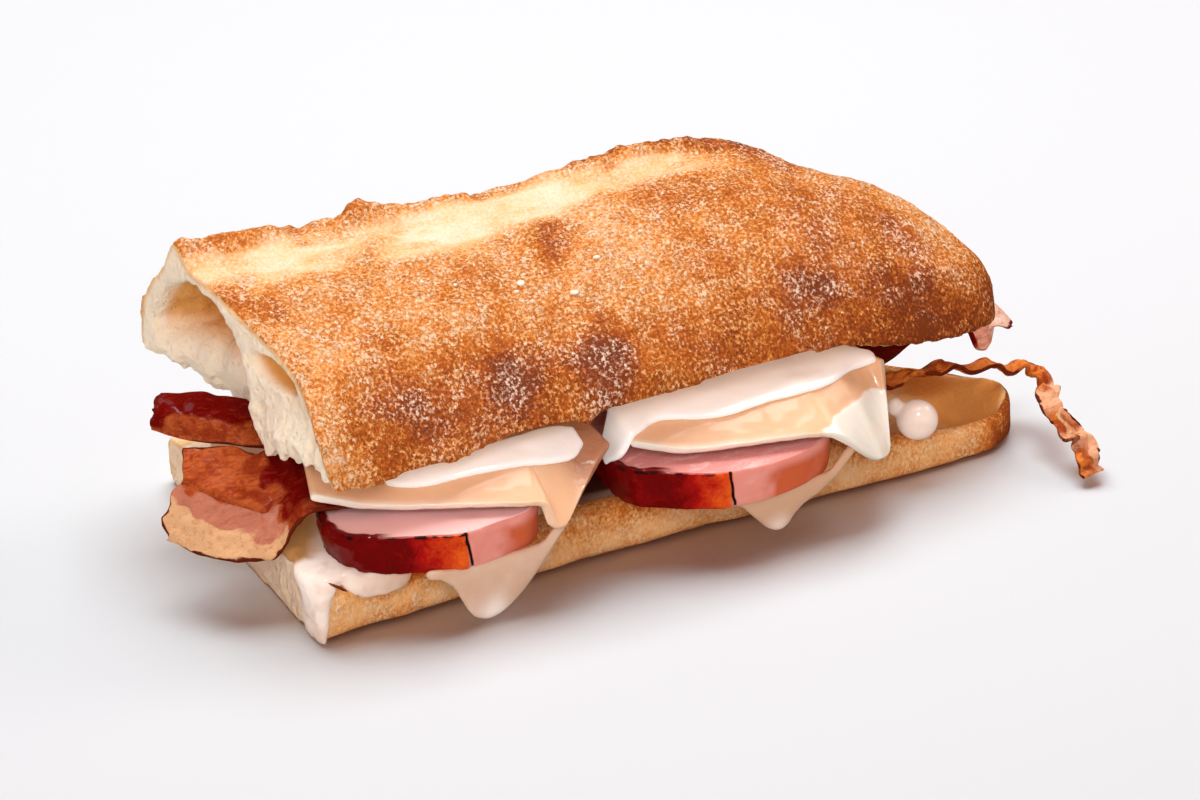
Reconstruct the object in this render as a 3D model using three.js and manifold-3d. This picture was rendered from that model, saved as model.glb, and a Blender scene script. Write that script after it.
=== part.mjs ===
// A ham and bacon sandwich: a cut length of ciabatta, opened and filled with two thick slices of
// glazed ham, melted cheese, four rashers of bacon and a cream sauce that drips over the front.
// Millimetres, +Z up, +X along the loaf from its cut end to its round end, -Y to the front.

import * as THREE from 'three';
import Module from 'manifold-3d';
import { mergeVertices } from 'three/addons/utils/BufferGeometryUtils.js';

const { lerp, smoothstep } = THREE.MathUtils;

// ---- Loaf -----------------------------------------------------------------------------------

const GAP = 0.3;                 // air left between two pieces that touch
const LOAF_WIDTH = 92;
const FRONT = -LOAF_WIDTH / 2;
const TIP_Y = -30;               // the round end comes to the front of the middle
const START_X = -14;             // both breads start here, before their cut face is sliced off

const LOWER_BREAD = {
  cutX: 0,                       // the cut face at the front edge
  cutSkew: 0.044,                // how far the cut runs off square, per mm across
  belowTable: 3,                 // what the flat base slices away
  tipX: 206.4,
  roundFrom: 192,
  front: profile([[0, FRONT], [85, FRONT + 3.2], [150, FRONT + 1.6], [190, FRONT + 2], [206, FRONT + 4]]),
  back: profile([[0, -FRONT], [50, -FRONT], [110, 42], [150, 30], [175, 12], [190, -3], [206, -18]]),
  rim: profile([[0, 16], [150, 15.6], [168, 13.4], [182, 11.2], [196, 11.6], [206, 12.4]]),
  floor: profile([[0, 15.6], [138, 15.2], [158, 8.5], [174, 5], [190, 5], [206, 9]]),
};

const UPPER_BREAD = {
  cutX: 5.3,
  cutSkew: 0.177,
  tipX: 201,
  roundFrom: 182,
  crownY: profile([[0, 12], [120, 11], [150, 6], [172, -5], [187, -13], [201, -27]]),
  front: profile([[0, FRONT], [160, FRONT + 0.5], [180, FRONT + 2.4], [201, FRONT + 7]]),
  back: profile([[0, 41.5], [60, 43], [120, 40], [148, 30], [172, 14], [187, 2], [201, -12]]),
  frontEdge: profile([[0, 42.2], [75, 44.4], [140, 44.8], [160, 40.6], [175, 38], [190, 36], [201, 33]]),
  backEdge: profile([[0, 43.4], [40, 41.4], [120, 40.6], [160, 38], [187, 34], [201, 33]]),
  crown: profile([
    [0, 74.2], [30, 74.6], [67, 73.6], [100, 75], [122, 76.2], [142, 75.2], [156, 72.4], [170, 68],
    [182, 61.8], [193, 52], [201, 39],
  ]),
  earBack: 9.5,                  // the burst crust stands this far behind the crown line
  earWidth: 5,
  earHeight: profile([
    [0, 6], [30, 4.8], [67, 3], [100, 4.8], [124, 4.8], [142, 3.4], [158, 1.2], [190, 0],
  ]),
  arch: profile([[0, 4.6], [60, 3], [150, 4], [182, 5.5], [201, 1]]),
};

// Hollows torn in the crumb of the upper cut face: where, how far each way, and how far tilted.
const CRUMB_HOLLOWS = [
  { at: [-8, 5, 45.5], radius: [40, 15.5, 25.5], tilt: -0.28 },
  { at: [0, -22.6, 60.6], radius: [11, 8.2, 4.4], tilt: 0.62 },
];

// ---- Ham ------------------------------------------------------------------------------------

const HAM_BASE = 17.3;
const HAM_TOP = 26.7;
const HAM_EDGE = 1.1;            // rounding of its upper and lower edges

const HAM_LEFT = [
  [7, -36], [8.4, -42.4], [12.4, -46], [20, -49.4], [33.2, -54.8], [44, -54.4], [53, -52.2], [57.4, -46],
  [59, -18], [57, 14], [47, 33], [31, 38], [19, 30], [12.6, 10], [9.4, -14],
];
const HAM_RIGHT = [
  [80, -40], [82.5, -47.5], [90, -52.5], [102, -59], [115, -60.6], [127, -58.4], [136.5, -52.4],
  [139.5, -40], [139, -14], [133, 10], [122, 27], [104, 36], [87, 30], [80, 8],
];

// ---- Cheese ---------------------------------------------------------------------------------

const CHEESE = { thickness: 2.6, level: 37.4, fall: 5.5, backFall: 4, backDrop: 5 };

const CHEESE_LEFT = {
  edge: [
    [4, -33.5, 34.6], [17, -39.5, 31.2], [36, -48, 30.8], [50, -54, 30.4], [58.2, -56.4, 23.4],
    [67.5, -51.5, 29], [77, -46, 36.4],
  ],
  back: [[24, 39], [76, 40]],
};
const CHEESE_RIGHT = {
  edge: [
    [84, -44.6, 33.4], [94, -49.4, 31], [108, -53.4, 30.6], [121, -56.4, 30.6], [133, -59.6, 30],
    [146, -58.4, 19], [153.6, -53, 17], [157.6, -47, 27], [159, -41, 36.8],
  ],
  back: [[84, 40], [138, 31]],
};

// ---- Bacon ----------------------------------------------------------------------------------

const RASHER = 1.9;              // thickness

// Each broad rasher runs between two edges, from its free end to the end inside the sandwich.
const BACON_BACK = {
  far: [[-14, 18, 41], [-4, 15.5, 40], [6, 10.6, 38], [20, 13, 33], [50, 15, 31.6], [84, 14, 31.6]],
  near: [[-19, 16.4, 33.6], [-9, 7.4, 32], [4, -1, 31], [20, -5, 30.4], [50, -7, 30.4], [84, -7, 30.4]],
  bulge: 4.2,
  bulgeReach: 0.3,
};
const BACON_FRONT = {
  far: [
    [-15, -3.3, 37], [-8, -5, 36.5], [0, -9, 35], [5, -10.4, 33], [14, -11, 32], [45, -11, 31.4],
    [80, -12, 31.4],
  ],
  near: [
    [-25, -12, 19], [-14.5, -26, 17.6], [-2, -31, 17.6], [2.4, -34.4, 28], [14, -36, 29.4],
    [45, -36, 29.8], [80, -34, 30],
  ],
  bulge: 3,
  bulgeReach: 0.35,
};
const BACON_CURL = {
  far: [
    [214, -21, 25], [209, -15, 31.4], [200, -10, 31.8], [180, -5, 31.4], [150, 0, 31.6], [118, 5, 31.6],
  ],
  near: [
    [206, -25.4, 20.6], [200, -23, 22.6], [193, -20, 25.6], [180, -17, 28.6], [150, -13, 31],
    [118, -11, 31.2],
  ],
  bulge: -2,
  bulgeReach: 0.3,
};

// The long crisp rasher is narrow, so it is given by its middle line.
const BACON_LONG = {
  line: [
    [207, -70.5, 3.4], [211, -62, 5.6], [210.6, -52, 8.6], [212, -44, 11.4], [215, -37, 13.6],
    [212, -31, 17.6], [205, -28.6, 19.6], [190, -27.4, 20.2], [172, -29, 20.6], [160, -27, 25],
    [146, -24, 29.6], [124, -20, 31], [98, -19, 31],
  ],
  width: 7.5,
  ripple: 0.8,
  rippleCount: 13,
};

// ---- Sauce ----------------------------------------------------------------------------------

// Each ribbon lies on a slice of cheese: how far along the slice's edge it starts and ends, how
// far behind that edge its own edge lies, and how far back it runs.
const SAUCE_TOP = { thickness: 2.7, reach: 24, gap: 0.8 };
const SAUCE_TOP_LEFT = {
  from: 0.2,
  to: 0.88,
  behind: [[0.2, 9], [0.34, 4.6], [0.6, 6.5], [0.8, 9], [0.88, 12]],
};
const SAUCE_TOP_RIGHT = {
  from: 0.03,
  to: 0.96,
  behind: [[0.03, 1.2], [0.12, 3], [0.3, 6], [0.55, 9], [0.75, 12], [0.96, 11]],
};

// Sauce under the ham: a layer, and the places where it has run over the front of the loaf.
const SAUCE_LAYER = [
  [3, -41], [30, -40.5], [62, -39], [90, -40], [134, -41], [142, -20], [132, 14], [100, 34],
  [50, 38], [6, 36], [0, 10], [-1, -20],
];
const SAUCE_LAYER_BASE = 16.35;
const SAUCE_LAYER_TOP = HAM_BASE - GAP;
// One run each: levels from the top down, with the middle, the half width and the half depth.
const SAUCE_RUNS = {
  frontLeftDrip: [
    [17, 42, -47, 15, 8], [14.5, 42, -51.5, 12, 3.6], [10, 42, -53, 7.6, 2], [5, 41.4, -53.6, 5, 2.2],
    [2, 40.8, -53.8, 3.2, 1.8],
  ],
  frontRightDrip: [
    [17, 120, -48, 14, 9], [15, 120, -54, 11, 4], [11, 119.6, -56, 6, 2], [7, 118.8, -56.4, 4, 1.9],
    [5, 118.4, -56.4, 2.6, 1.5],
  ],
  leftCorner: [
    [17, 5, -38, 8, 6.5], [15.4, 2.4, -39, 5, 7.5], [11, -0.6, -40, 2.4, 7.4], [5, -1.4, -43.4, 2, 4.6],
    [0.5, -1.2, -45.6, 1.4, 3],
  ],
  leftScallop: [[17, 15, -43, 9, 3.6], [15, 15, -45.6, 8, 2.4], [12.6, 15, -46.4, 4.6, 1.4]],
};
// The right ribbon also runs off the left end of its cheese and down onto the ham.
const SAUCE_FALL = [
  [38, 88, -36, 7, 6], [33, 86, -42, 6.6, 5.4], [28.6, 85.6, -44.6, 6.4, 4.6], [27, 85.6, -45, 6, 4.2],
];

// ---- Colours --------------------------------------------------------------------------------

const LOOKS = {
  crust: { color: 0xc98544, roughness: 0.62, metalness: 0 },
  ham: { color: 0xc9605a, roughness: 0.34, metalness: 0 },
  cheese: { color: 0xe2bd85, roughness: 0.26, metalness: 0 },
  bacon: { color: 0x8c3420, roughness: 0.36, metalness: 0 },
  sauce: { color: 0xf0e0c6, roughness: 0.22, metalness: 0 },
};

// ---- Curves and bodies ----------------------------------------------------------------------

/** A value that runs smoothly through [x, value] pairs and stays level beyond both ends. */
function profile(pairs) {
  const last = pairs.length - 1;
  const slope = (k) => {
    const [x0, y0] = pairs[Math.max(k - 1, 0)];
    const [x1, y1] = pairs[Math.min(k + 1, last)];
    return (y1 - y0) / (x1 - x0);
  };
  return (x) => {
    if (x <= pairs[0][0]) return pairs[0][1];
    if (x >= pairs[last][0]) return pairs[last][1];
    const k = pairs.findIndex(([knot]) => knot > x) - 1;
    const [x0, y0] = pairs[k];
    const [x1, y1] = pairs[k + 1];
    const span = x1 - x0;
    const t = (x - x0) / span;
    const rise = t * t * (3 - 2 * t);
    const leave = t * (1 - t) * (1 - t) * span * slope(k);
    const arrive = t * t * (t - 1) * span * slope(k + 1);
    return y0 + (y1 - y0) * rise + leave + arrive;
  };
}

/** A smooth line in space through a few points. */
function spaceCurve(points, closed = false) {
  const places = points.map(([x, y, z = 0]) => new THREE.Vector3(x, y, z));
  return new THREE.CatmullRomCurve3(places, closed, 'centripetal');
}

/** A point on a curve, carried straight on past both ends. */
function pointOn(curve, t) {
  const inside = THREE.MathUtils.clamp(t, 0, 1);
  return curve.getPoint(inside).addScaledVector(curve.getTangent(inside), (t - inside) * curve.getLength());
}

/** Moves every vertex of a geometry to the place that a function gives for it. */
function bend(geometry, place) {
  const position = geometry.getAttribute('position');
  const vertex = new THREE.Vector3();
  for (let i = 0; i < position.count; i += 1) {
    const moved = place(vertex.fromBufferAttribute(position, i).clone());
    position.setXYZ(i, moved.x, moved.y, moved.z);
  }
  return geometry;
}

/** A body skinned over rings: section(along, turn) gives its surface, heart(along) its middle. */
function loft(section, heart, rings, sides) {
  const tube = new THREE.CylinderGeometry(1, 1, 1, sides, rings);
  return bend(tube, (vertex) => {
    const along = vertex.y + 0.5;
    const radius = Math.hypot(vertex.x, vertex.z);
    if (radius < 0.5) return heart(along);
    const turn = (Math.atan2(vertex.x, vertex.z) / (2 * Math.PI) + 1) % 1;
    return section(along, Math.round(turn * sides) / sides);
  });
}

/** A sheet whose middle surface is surface(u, v), thinner at its edges and grown all round by grow. */
function sheet(surface, { thickness, length, width, columns, rows, grow }) {
  const step = 1e-3;
  return bend(new THREE.BoxGeometry(1, 1, 1, columns, rows, 1), (vertex) => {
    const u = 0.5 + vertex.x * (1 + 2 * grow / length);
    const v = 0.5 + vertex.y * (1 + 2 * grow / width);
    const along = surface(u + step, v).sub(surface(u - step, v));
    const across = surface(u, v + step).sub(surface(u, v - step));
    const normal = along.cross(across).normalize();
    const fromEnd = (0.5 - Math.abs(vertex.x)) * columns;
    const fromSide = (0.5 - Math.abs(vertex.y)) * rows;
    const height = thickness * lerp(0.55, 1, Math.min(fromEnd, fromSide, 1)) + 2 * grow;
    return surface(u, v).addScaledVector(normal, vertex.z * height);
  });
}

/** A stack of rings on a rounded outline, from the base up: a thick slice with eased edges. */
function slab(outline, base, top, edge, sides) {
  const curve = spaceCurve(outline, true);
  const middle = outline.reduce((sum, [x, y]) => sum.add(new THREE.Vector3(x, y)), new THREE.Vector3());
  middle.divideScalar(outline.length);
  const levels = profile([[0, base], [0.25, base + edge], [0.75, top - edge], [1, top]]);
  const at = (along) => middle.clone().setZ(levels(along));
  return loft((along, turn) => {
    const rim = curve.getPoint(1 - turn);
    const inward = along < 0.1 || along > 0.9 ? edge : 0;
    const reach = rim.distanceTo(middle);
    return rim.lerp(middle, inward / reach).setZ(levels(along));
  }, at, 4, sides);
}

/** Sauce that runs down: rings from the top level to the lowest, each an ellipse. */
function run(levels) {
  const last = levels.length - 1;
  const track = [0, 1, 2, 3, 4].map((item) => profile(levels.map((level, k) => [k / last, level[item]])));
  const at = (along) => new THREE.Vector3(track[1](along), track[2](along), track[0](along));
  return loft((along, turn) => {
    const angle = 2 * Math.PI * turn;
    const offset = new THREE.Vector3(track[3](along) * Math.cos(angle), track[4](along) * Math.sin(angle));
    return at(along).add(offset);
  }, at, 6, 14);
}

// ---- Joining and cutting --------------------------------------------------------------------

const wasm = await Module();
wasm.setup();

/** The closed solid of a geometry, turned the right way out. */
function toSolid(geometry) {
  const plain = geometry.index ? geometry.toNonIndexed() : geometry.clone();
  plain.deleteAttribute('normal');
  plain.deleteAttribute('uv');
  const merged = mergeVertices(plain, 1e-4);
  const vertProperties = new Float32Array(merged.getAttribute('position').array);
  const triVerts = new Uint32Array(merged.index.array);
  const make = () => new wasm.Manifold(new wasm.Mesh({ numProp: 3, vertProperties, triVerts }));
  const solid = make();
  if (solid.volume() > 0) return solid;
  for (let i = 0; i < triVerts.length; i += 3) triVerts.subarray(i, i + 2).reverse();
  return make();
}

/** A solid without the pieces that come near it; each cutter has already been grown by the gap. */
function without(solid, cutters) {
  return cutters.reduce((rest, cutter) => rest.subtract(cutter), solid);
}

/** The solid's largest connected part, so that a cut leaves no loose sliver. */
function largest(solid) {
  return solid.decompose().reduce((best, part) => (part.volume() > best.volume() ? part : best));
}

/** A block that takes away everything to the left of a bread's slanting cut face. */
function cutBlock({ cutX, cutSkew }) {
  const size = 300;
  const block = new THREE.BoxGeometry(size, size, size).translate(-size / 2, 0, 0);
  return toSolid(block.rotateZ(Math.atan(cutSkew)).translate(cutX, FRONT, 0));
}

/** Stations along a bread, closer together towards its round end. */
function station({ tipX }, along) {
  const eased = lerp(along, Math.sin(along * Math.PI / 2), 0.45);
  return lerp(START_X, tipX - 0.25, eased);
}

/** The front and back of a bread at x, and how full its plan still is: 1, falling to 0 at the tip. */
function span(bread, x) {
  const into = Math.max(x - bread.roundFrom, 0) / (bread.tipX - bread.roundFrom);
  const full = Math.sqrt(Math.max(1 - into * into, 0));
  return { full, front: lerp(TIP_Y, bread.front(x), full), back: lerp(TIP_Y, bread.back(x), full) };
}

// ---- Breads ---------------------------------------------------------------------------------

/** The lower bread: a flat-based trough of crust with a shallow crumb floor. */
function lowerBread(grow = 0) {
  const squareness = 0.36;
  const section = (along, turn) => {
    const x = station(LOWER_BREAD, along);
    const { full, front, back } = span(LOWER_BREAD, x);
    const middle = (front + back) / 2;
    const half = (back - front) / 2 + grow;
    const angle = 2 * Math.PI * turn;
    const across = Math.sign(Math.cos(angle)) * Math.abs(Math.cos(angle)) ** squareness;
    const upright = Math.sign(Math.sin(angle)) * Math.abs(Math.sin(angle)) ** squareness;
    const rim = LOWER_BREAD.rim(x) + grow;
    const low = -LOWER_BREAD.belowTable;
    const dish = (rim - grow - LOWER_BREAD.floor(x)) * (1 - smoothstep(Math.abs(across), 0.5, 0.96)) * full;
    const height = lerp(low, rim, (upright + 1) / 2) - (upright > 0 ? dish * upright : 0);
    return new THREE.Vector3(x + grow, middle - across * half, height);
  };
  const heart = (along) => {
    const x = station(LOWER_BREAD, along);
    const { front, back } = span(LOWER_BREAD, x);
    return new THREE.Vector3(x + grow, (front + back) / 2, LOWER_BREAD.floor(x) / 2);
  };
  const body = toSolid(loft(section, heart, 26, 26));
  const table = toSolid(new THREE.BoxGeometry(500, 300, 20).translate(0, 0, -10));
  return body.subtract(cutBlock({ ...LOWER_BREAD, cutX: LOWER_BREAD.cutX - grow })).subtract(table);
}

/** The upper bread: a domed crust with a burst ridge behind its crown, arched underneath. */
function upperBread() {
  const crustShare = 0.68;
  const section = (along, turn) => {
    const x = station(UPPER_BREAD, along);
    const { full, front, back } = span(UPPER_BREAD, x);
    const crownY = lerp(TIP_Y + 2, UPPER_BREAD.crownY(x), full);
    const low = (across) => lerp(UPPER_BREAD.frontEdge(x), UPPER_BREAD.backEdge(x), across);
    if (turn >= crustShare) {
      const inward = (turn - crustShare) / (1 - crustShare);
      const arch = UPPER_BREAD.arch(x) * Math.sin(Math.PI * inward) ** 0.7 * full;
      return new THREE.Vector3(x, lerp(back, front, inward), low(1 - inward) + arch);
    }
    const angle = Math.PI * turn / crustShare;
    const side = angle < Math.PI / 2 ? crownY - front : back - crownY;
    const fullnessPower = angle < Math.PI / 2 ? 1.56 : 0.9;
    const y = crownY - side * Math.cos(angle);
    const foot = low((1 - Math.cos(angle)) / 2);
    const rise = (UPPER_BREAD.crown(x) - foot) * Math.max(Math.sin(angle), 0) ** fullnessPower;
    const fromEar = (y - crownY - UPPER_BREAD.earBack) / UPPER_BREAD.earWidth;
    const ear = UPPER_BREAD.earHeight(x) * (1 + 0.22 * Math.sin(x / 7)) * Math.exp(-fromEar * fromEar);
    return new THREE.Vector3(x, y, foot + rise + ear);
  };
  const heart = (along) => {
    const x = station(UPPER_BREAD, along);
    const { full, front, back } = span(UPPER_BREAD, x);
    const height = lerp(UPPER_BREAD.frontEdge(x) + 3, UPPER_BREAD.crown(x), 0.4);
    return new THREE.Vector3(x, lerp(front, back, 0.5), lerp(34.4, height, full));
  };
  const hollows = CRUMB_HOLLOWS.map(({ at, radius, tilt }) => toSolid(
    new THREE.SphereGeometry(1, 14, 9).scale(...radius).rotateX(tilt).translate(...at),
  ));
  return without(toSolid(loft(section, heart, 28, 30)), [cutBlock(UPPER_BREAD), ...hollows]);
}

// ---- Fillings -------------------------------------------------------------------------------

/** A thick slice of ham. */
function ham(outline, grow = 0) {
  const count = outline.length;
  const middle = outline.reduce(([a, b], [x, y]) => [a + x / count, b + y / count], [0, 0]);
  const grown = outline.map(([x, y]) => {
    const reach = Math.hypot(x - middle[0], y - middle[1]);
    return [x + (x - middle[0]) * grow / reach, y + (y - middle[1]) * grow / reach];
  });
  return toSolid(slab(grown, HAM_BASE - grow, HAM_TOP + grow, HAM_EDGE, 31));
}

/** The upper surface of a melted slice: level inside, and falling towards its drooping edge. */
function cheeseSurface({ edge, back }) {
  const edgeLine = spaceCurve(edge);
  return (u, v) => {
    const rim = pointOn(edgeLine, u);
    const far = new THREE.Vector3(lerp(back[0][0], back[1][0], u), lerp(back[0][1], back[1][1], u));
    const depth = Math.hypot(far.x - rim.x, far.y - rim.y);
    const fall = Math.exp(-((Math.max(v, 0) * depth / CHEESE.fall) ** 1.3));
    const backFall = Math.exp(-((Math.max(1 - v, 0) * depth / CHEESE.backFall) ** 1.3));
    const height = lerp(CHEESE.level, rim.z, fall) - CHEESE.backDrop * backFall;
    return new THREE.Vector3(lerp(rim.x, far.x, v), lerp(rim.y, far.y, v), height);
  };
}

/** A slice of cheese below its upper surface; rows crowd towards the drooping edge. */
function cheese(slice, grow = 0) {
  const upper = cheeseSurface(slice);
  const { thickness } = CHEESE;
  const lowered = (u, v) => upper(u, lerp(v, v * v, 0.75)).add(new THREE.Vector3(0, 0, -thickness / 2));
  return toSolid(sheet(lowered, { thickness, length: 85, width: 85, columns: 18, rows: 7, grow }));
}

/** A rasher between a far and a near edge, bulging over its free end and rippled inside. */
function rasher({ far, near, bulge, bulgeReach }, grow = 0) {
  const farLine = spaceCurve(far);
  const nearLine = spaceCurve(near);
  const surface = (u, v) => {
    const point = pointOn(nearLine, u).lerp(pointOn(farLine, u), v);
    const free = 1 - smoothstep(u, bulgeReach * 0.6, bulgeReach * 1.4);
    const crest = Math.sin(Math.PI * v);
    const offset = bulge * free * crest + 0.5 * (1 - free) * Math.sin(u * 26);
    return point.add(new THREE.Vector3(-0.3 * offset, -0.5 * offset, 0.5 * offset));
  };
  return toSolid(sheet(surface, { thickness: RASHER, length: 100, width: 22, columns: 20, rows: 5, grow }));
}

/** The narrow crisp rasher: a rippled ribbon that stays level across its middle line. */
function ribbon({ line, width, ripple, rippleCount }, grow = 0) {
  const middle = spaceCurve(line);
  const up = new THREE.Vector3(0, 0, 1);
  const surface = (u, v) => {
    const tangent = middle.getTangent(THREE.MathUtils.clamp(u, 0, 1));
    const across = tangent.cross(up).normalize();
    const wave = ripple * Math.sin(2 * Math.PI * rippleCount * u);
    return pointOn(middle, u).addScaledVector(across, (0.5 - v) * width).addScaledVector(up, wave);
  };
  return toSolid(sheet(surface, { thickness: RASHER, length: 170, width, columns: 60, rows: 2, grow }));
}

// ---- Sauces ---------------------------------------------------------------------------------

/** A ribbon of sauce that lies on a slice of cheese and runs in under the upper bread. */
function sauceOnCheese(slice, { from, to, behind }) {
  const upper = cheeseSurface(slice);
  const start = profile(behind);
  return toSolid(bend(new THREE.BoxGeometry(1, 1, 1, 18, 5, 1), (vertex) => {
    const u = lerp(from, to, vertex.x + 0.5);
    const depth = upper(u, 1).distanceTo(upper(u, 0));
    const v = lerp(start(u), SAUCE_TOP.reach, vertex.y + 0.5) / depth;
    const taper = Math.sqrt(Math.min(4 * (vertex.x + 0.5) * (0.5 - vertex.x) * 3, 1));
    const front = Math.sqrt(Math.min((vertex.y + 0.5) * 6, 1));
    const rise = vertex.z > 0 ? SAUCE_TOP.thickness * lerp(0.2, 1, taper * front) : 0;
    return upper(u, v).add(new THREE.Vector3(0, 0, SAUCE_TOP.gap + rise));
  }));
}

/** The right ribbon of sauce with the lobe that runs off its cheese onto the ham. */
function sauceRightWithFall(cutters) {
  const fall = without(toSolid(run(SAUCE_FALL)), cutters);
  return largest(sauceOnCheese(CHEESE_RIGHT, SAUCE_TOP_RIGHT).add(fall));
}

/** The sauce under the ham: one layer with its runs, fitted to the bread and the ham. */
function sauceUnderHam(cutters) {
  const layer = toSolid(slab(SAUCE_LAYER, SAUCE_LAYER_BASE, SAUCE_LAYER_TOP, 0.2, 36));
  const all = Object.values(SAUCE_RUNS).reduce((sum, levels) => sum.add(toSolid(run(levels))), layer);
  return largest(without(all, cutters));
}

// ---- Assembly -------------------------------------------------------------------------------

/** A named mesh made from a solid. */
function piece(name, solid, look) {
  const { vertProperties, triVerts } = solid.getMesh();
  const geometry = new THREE.BufferGeometry();
  geometry.setAttribute('position', new THREE.BufferAttribute(vertProperties, 3));
  geometry.setIndex(new THREE.BufferAttribute(triVerts, 1));
  geometry.computeVertexNormals();
  const mesh = new THREE.Mesh(geometry, new THREE.MeshStandardMaterial(LOOKS[look]));
  mesh.name = name;
  return mesh;
}

const hamCutters = [ham(HAM_LEFT, GAP), ham(HAM_RIGHT, GAP)];
const cheeseCutters = [cheese(CHEESE_LEFT, GAP), cheese(CHEESE_RIGHT, GAP)];
const lowerBreadCutter = lowerBread(GAP);
const fillingCutters = [lowerBreadCutter, ...hamCutters];
const rasherCutters = [...fillingCutters, ...cheeseCutters];

/** A filling cut clear of its neighbours, without loose slivers. */
const fitted = (solid, cutters) => largest(without(solid, cutters));

const group = new THREE.Group();
group.name = 'ham_and_bacon_sandwich';
group.add(
  piece('bread_bottom', lowerBread(), 'crust'),
  piece('bread_top', upperBread(), 'crust'),
  piece('ham_left', ham(HAM_LEFT), 'ham'),
  piece('ham_right', ham(HAM_RIGHT), 'ham'),
  piece('cheese_left', fitted(cheese(CHEESE_LEFT), fillingCutters), 'cheese'),
  piece('cheese_right', fitted(cheese(CHEESE_RIGHT), fillingCutters), 'cheese'),
  piece('bacon_back', fitted(rasher(BACON_BACK), rasherCutters), 'bacon'),
  piece('bacon_front', fitted(rasher(BACON_FRONT), rasherCutters), 'bacon'),
  piece('bacon_long', fitted(ribbon(BACON_LONG), rasherCutters), 'bacon'),
  piece('bacon_curl', fitted(rasher(BACON_CURL), [...rasherCutters, ribbon(BACON_LONG, GAP)]), 'bacon'),
  piece('sauce_top_left', sauceOnCheese(CHEESE_LEFT, SAUCE_TOP_LEFT), 'sauce'),
  piece('sauce_top_right', sauceRightWithFall(rasherCutters), 'sauce'),
  piece('sauce_under_ham', sauceUnderHam([...fillingCutters, rasher(BACON_FRONT, GAP)]), 'sauce'),
);

// The origin is the middle of the base.
const bounds = new THREE.Box3().setFromObject(group);
const centre = bounds.getCenter(new THREE.Vector3());
group.position.set(-centre.x, -centre.y, -bounds.min.z);

export default group;
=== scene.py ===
"""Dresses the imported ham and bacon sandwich: crust, crumb, ham, cheese, bacon and sauce.

Sizes are given in loaf millimetres: x along the loaf from the front of its cut end, y to the
back from its middle, z up from the table. The bench turns them into the shared frame.
"""

import logging
import math
from dataclasses import dataclass
from enum import Enum
from typing import Callable, Sequence

import bpy
import numpy as np
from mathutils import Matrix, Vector
from mathutils.bvhtree import BVHTree


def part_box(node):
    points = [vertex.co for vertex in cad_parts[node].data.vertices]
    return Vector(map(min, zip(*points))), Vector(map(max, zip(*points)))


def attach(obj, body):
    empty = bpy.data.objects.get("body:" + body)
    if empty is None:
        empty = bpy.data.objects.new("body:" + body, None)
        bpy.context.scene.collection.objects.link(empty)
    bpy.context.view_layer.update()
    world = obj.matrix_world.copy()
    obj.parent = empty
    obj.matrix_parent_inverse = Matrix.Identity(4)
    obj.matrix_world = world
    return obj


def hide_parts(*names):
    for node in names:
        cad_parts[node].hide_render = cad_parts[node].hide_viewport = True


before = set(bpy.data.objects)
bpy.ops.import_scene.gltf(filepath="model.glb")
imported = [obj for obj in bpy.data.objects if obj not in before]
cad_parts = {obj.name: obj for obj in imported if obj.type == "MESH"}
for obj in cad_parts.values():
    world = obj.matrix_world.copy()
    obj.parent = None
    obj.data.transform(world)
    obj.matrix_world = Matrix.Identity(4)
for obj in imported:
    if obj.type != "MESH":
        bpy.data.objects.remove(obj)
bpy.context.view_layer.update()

Array = np.ndarray
Colour = tuple[float, float, float]
Triple = tuple[float, float, float]
Piece = bpy.types.Object
Plan = Sequence[tuple[float, float]]
Route = Sequence[Triple]
Surface = Callable[[Array, Array], Array]

MM = 0.001
LOAF_WIDTH = 92.0
FRONT = -LOAF_WIDTH / 2
TIP_Y = -30.0
START_X = -14.0
LOWER_SKEW = 0.044

# The noise's own numbers: what turns a whole-number cell into a random-looking one.
CELL_PRIMES = np.array([374761393, 668265263, 1440662683])
SEED_PRIME = 974634777
WORD = 0xFFFFFFFF
NOISE_GAIN = 1.5
OCTAVE_SHIFT = 17.3

log = logging.getLogger("sandwich")


class Slot(Enum):
    """The material slots."""

    BREAD = "bread"
    HAM = "ham"
    CHEESE = "cheese"
    BACON = "bacon"
    SAUCE = "sauce"


# ---- Numbers over space ----


def lerp(low: Array | float, high: Array | float, share: Array | float) -> Array:
    """A value that share of the way from low to high."""
    return low + (high - low) * share


def ease(low: float, high: float, value: Array) -> Array:
    """0 below low, 1 above high and smooth between; low may be the larger."""
    share = np.clip((value - low) / (high - low), 0.0, 1.0)
    return share * share * (3 - 2 * share)


def unit(value: Array) -> Array:
    """A value held between 0 and 1."""
    return np.clip(value, 0, 1)


def power(value: Array, exponent: float) -> Array:
    """A signed power, for squared-off rings."""
    return np.sign(value) * np.abs(value) ** exponent


def hill(value: Array, centre: float | Array, width: float) -> Array:
    """A smooth hill of height 1 at centre."""
    return np.exp(-(((value - centre) / width) ** 2))


def near(points: Array, place: Triple, radius: float) -> Array:
    """A smooth ball of influence, 1 at its middle."""
    return np.exp(-(((points - np.array(place)) ** 2).sum(axis=1) / radius**2))


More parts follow.
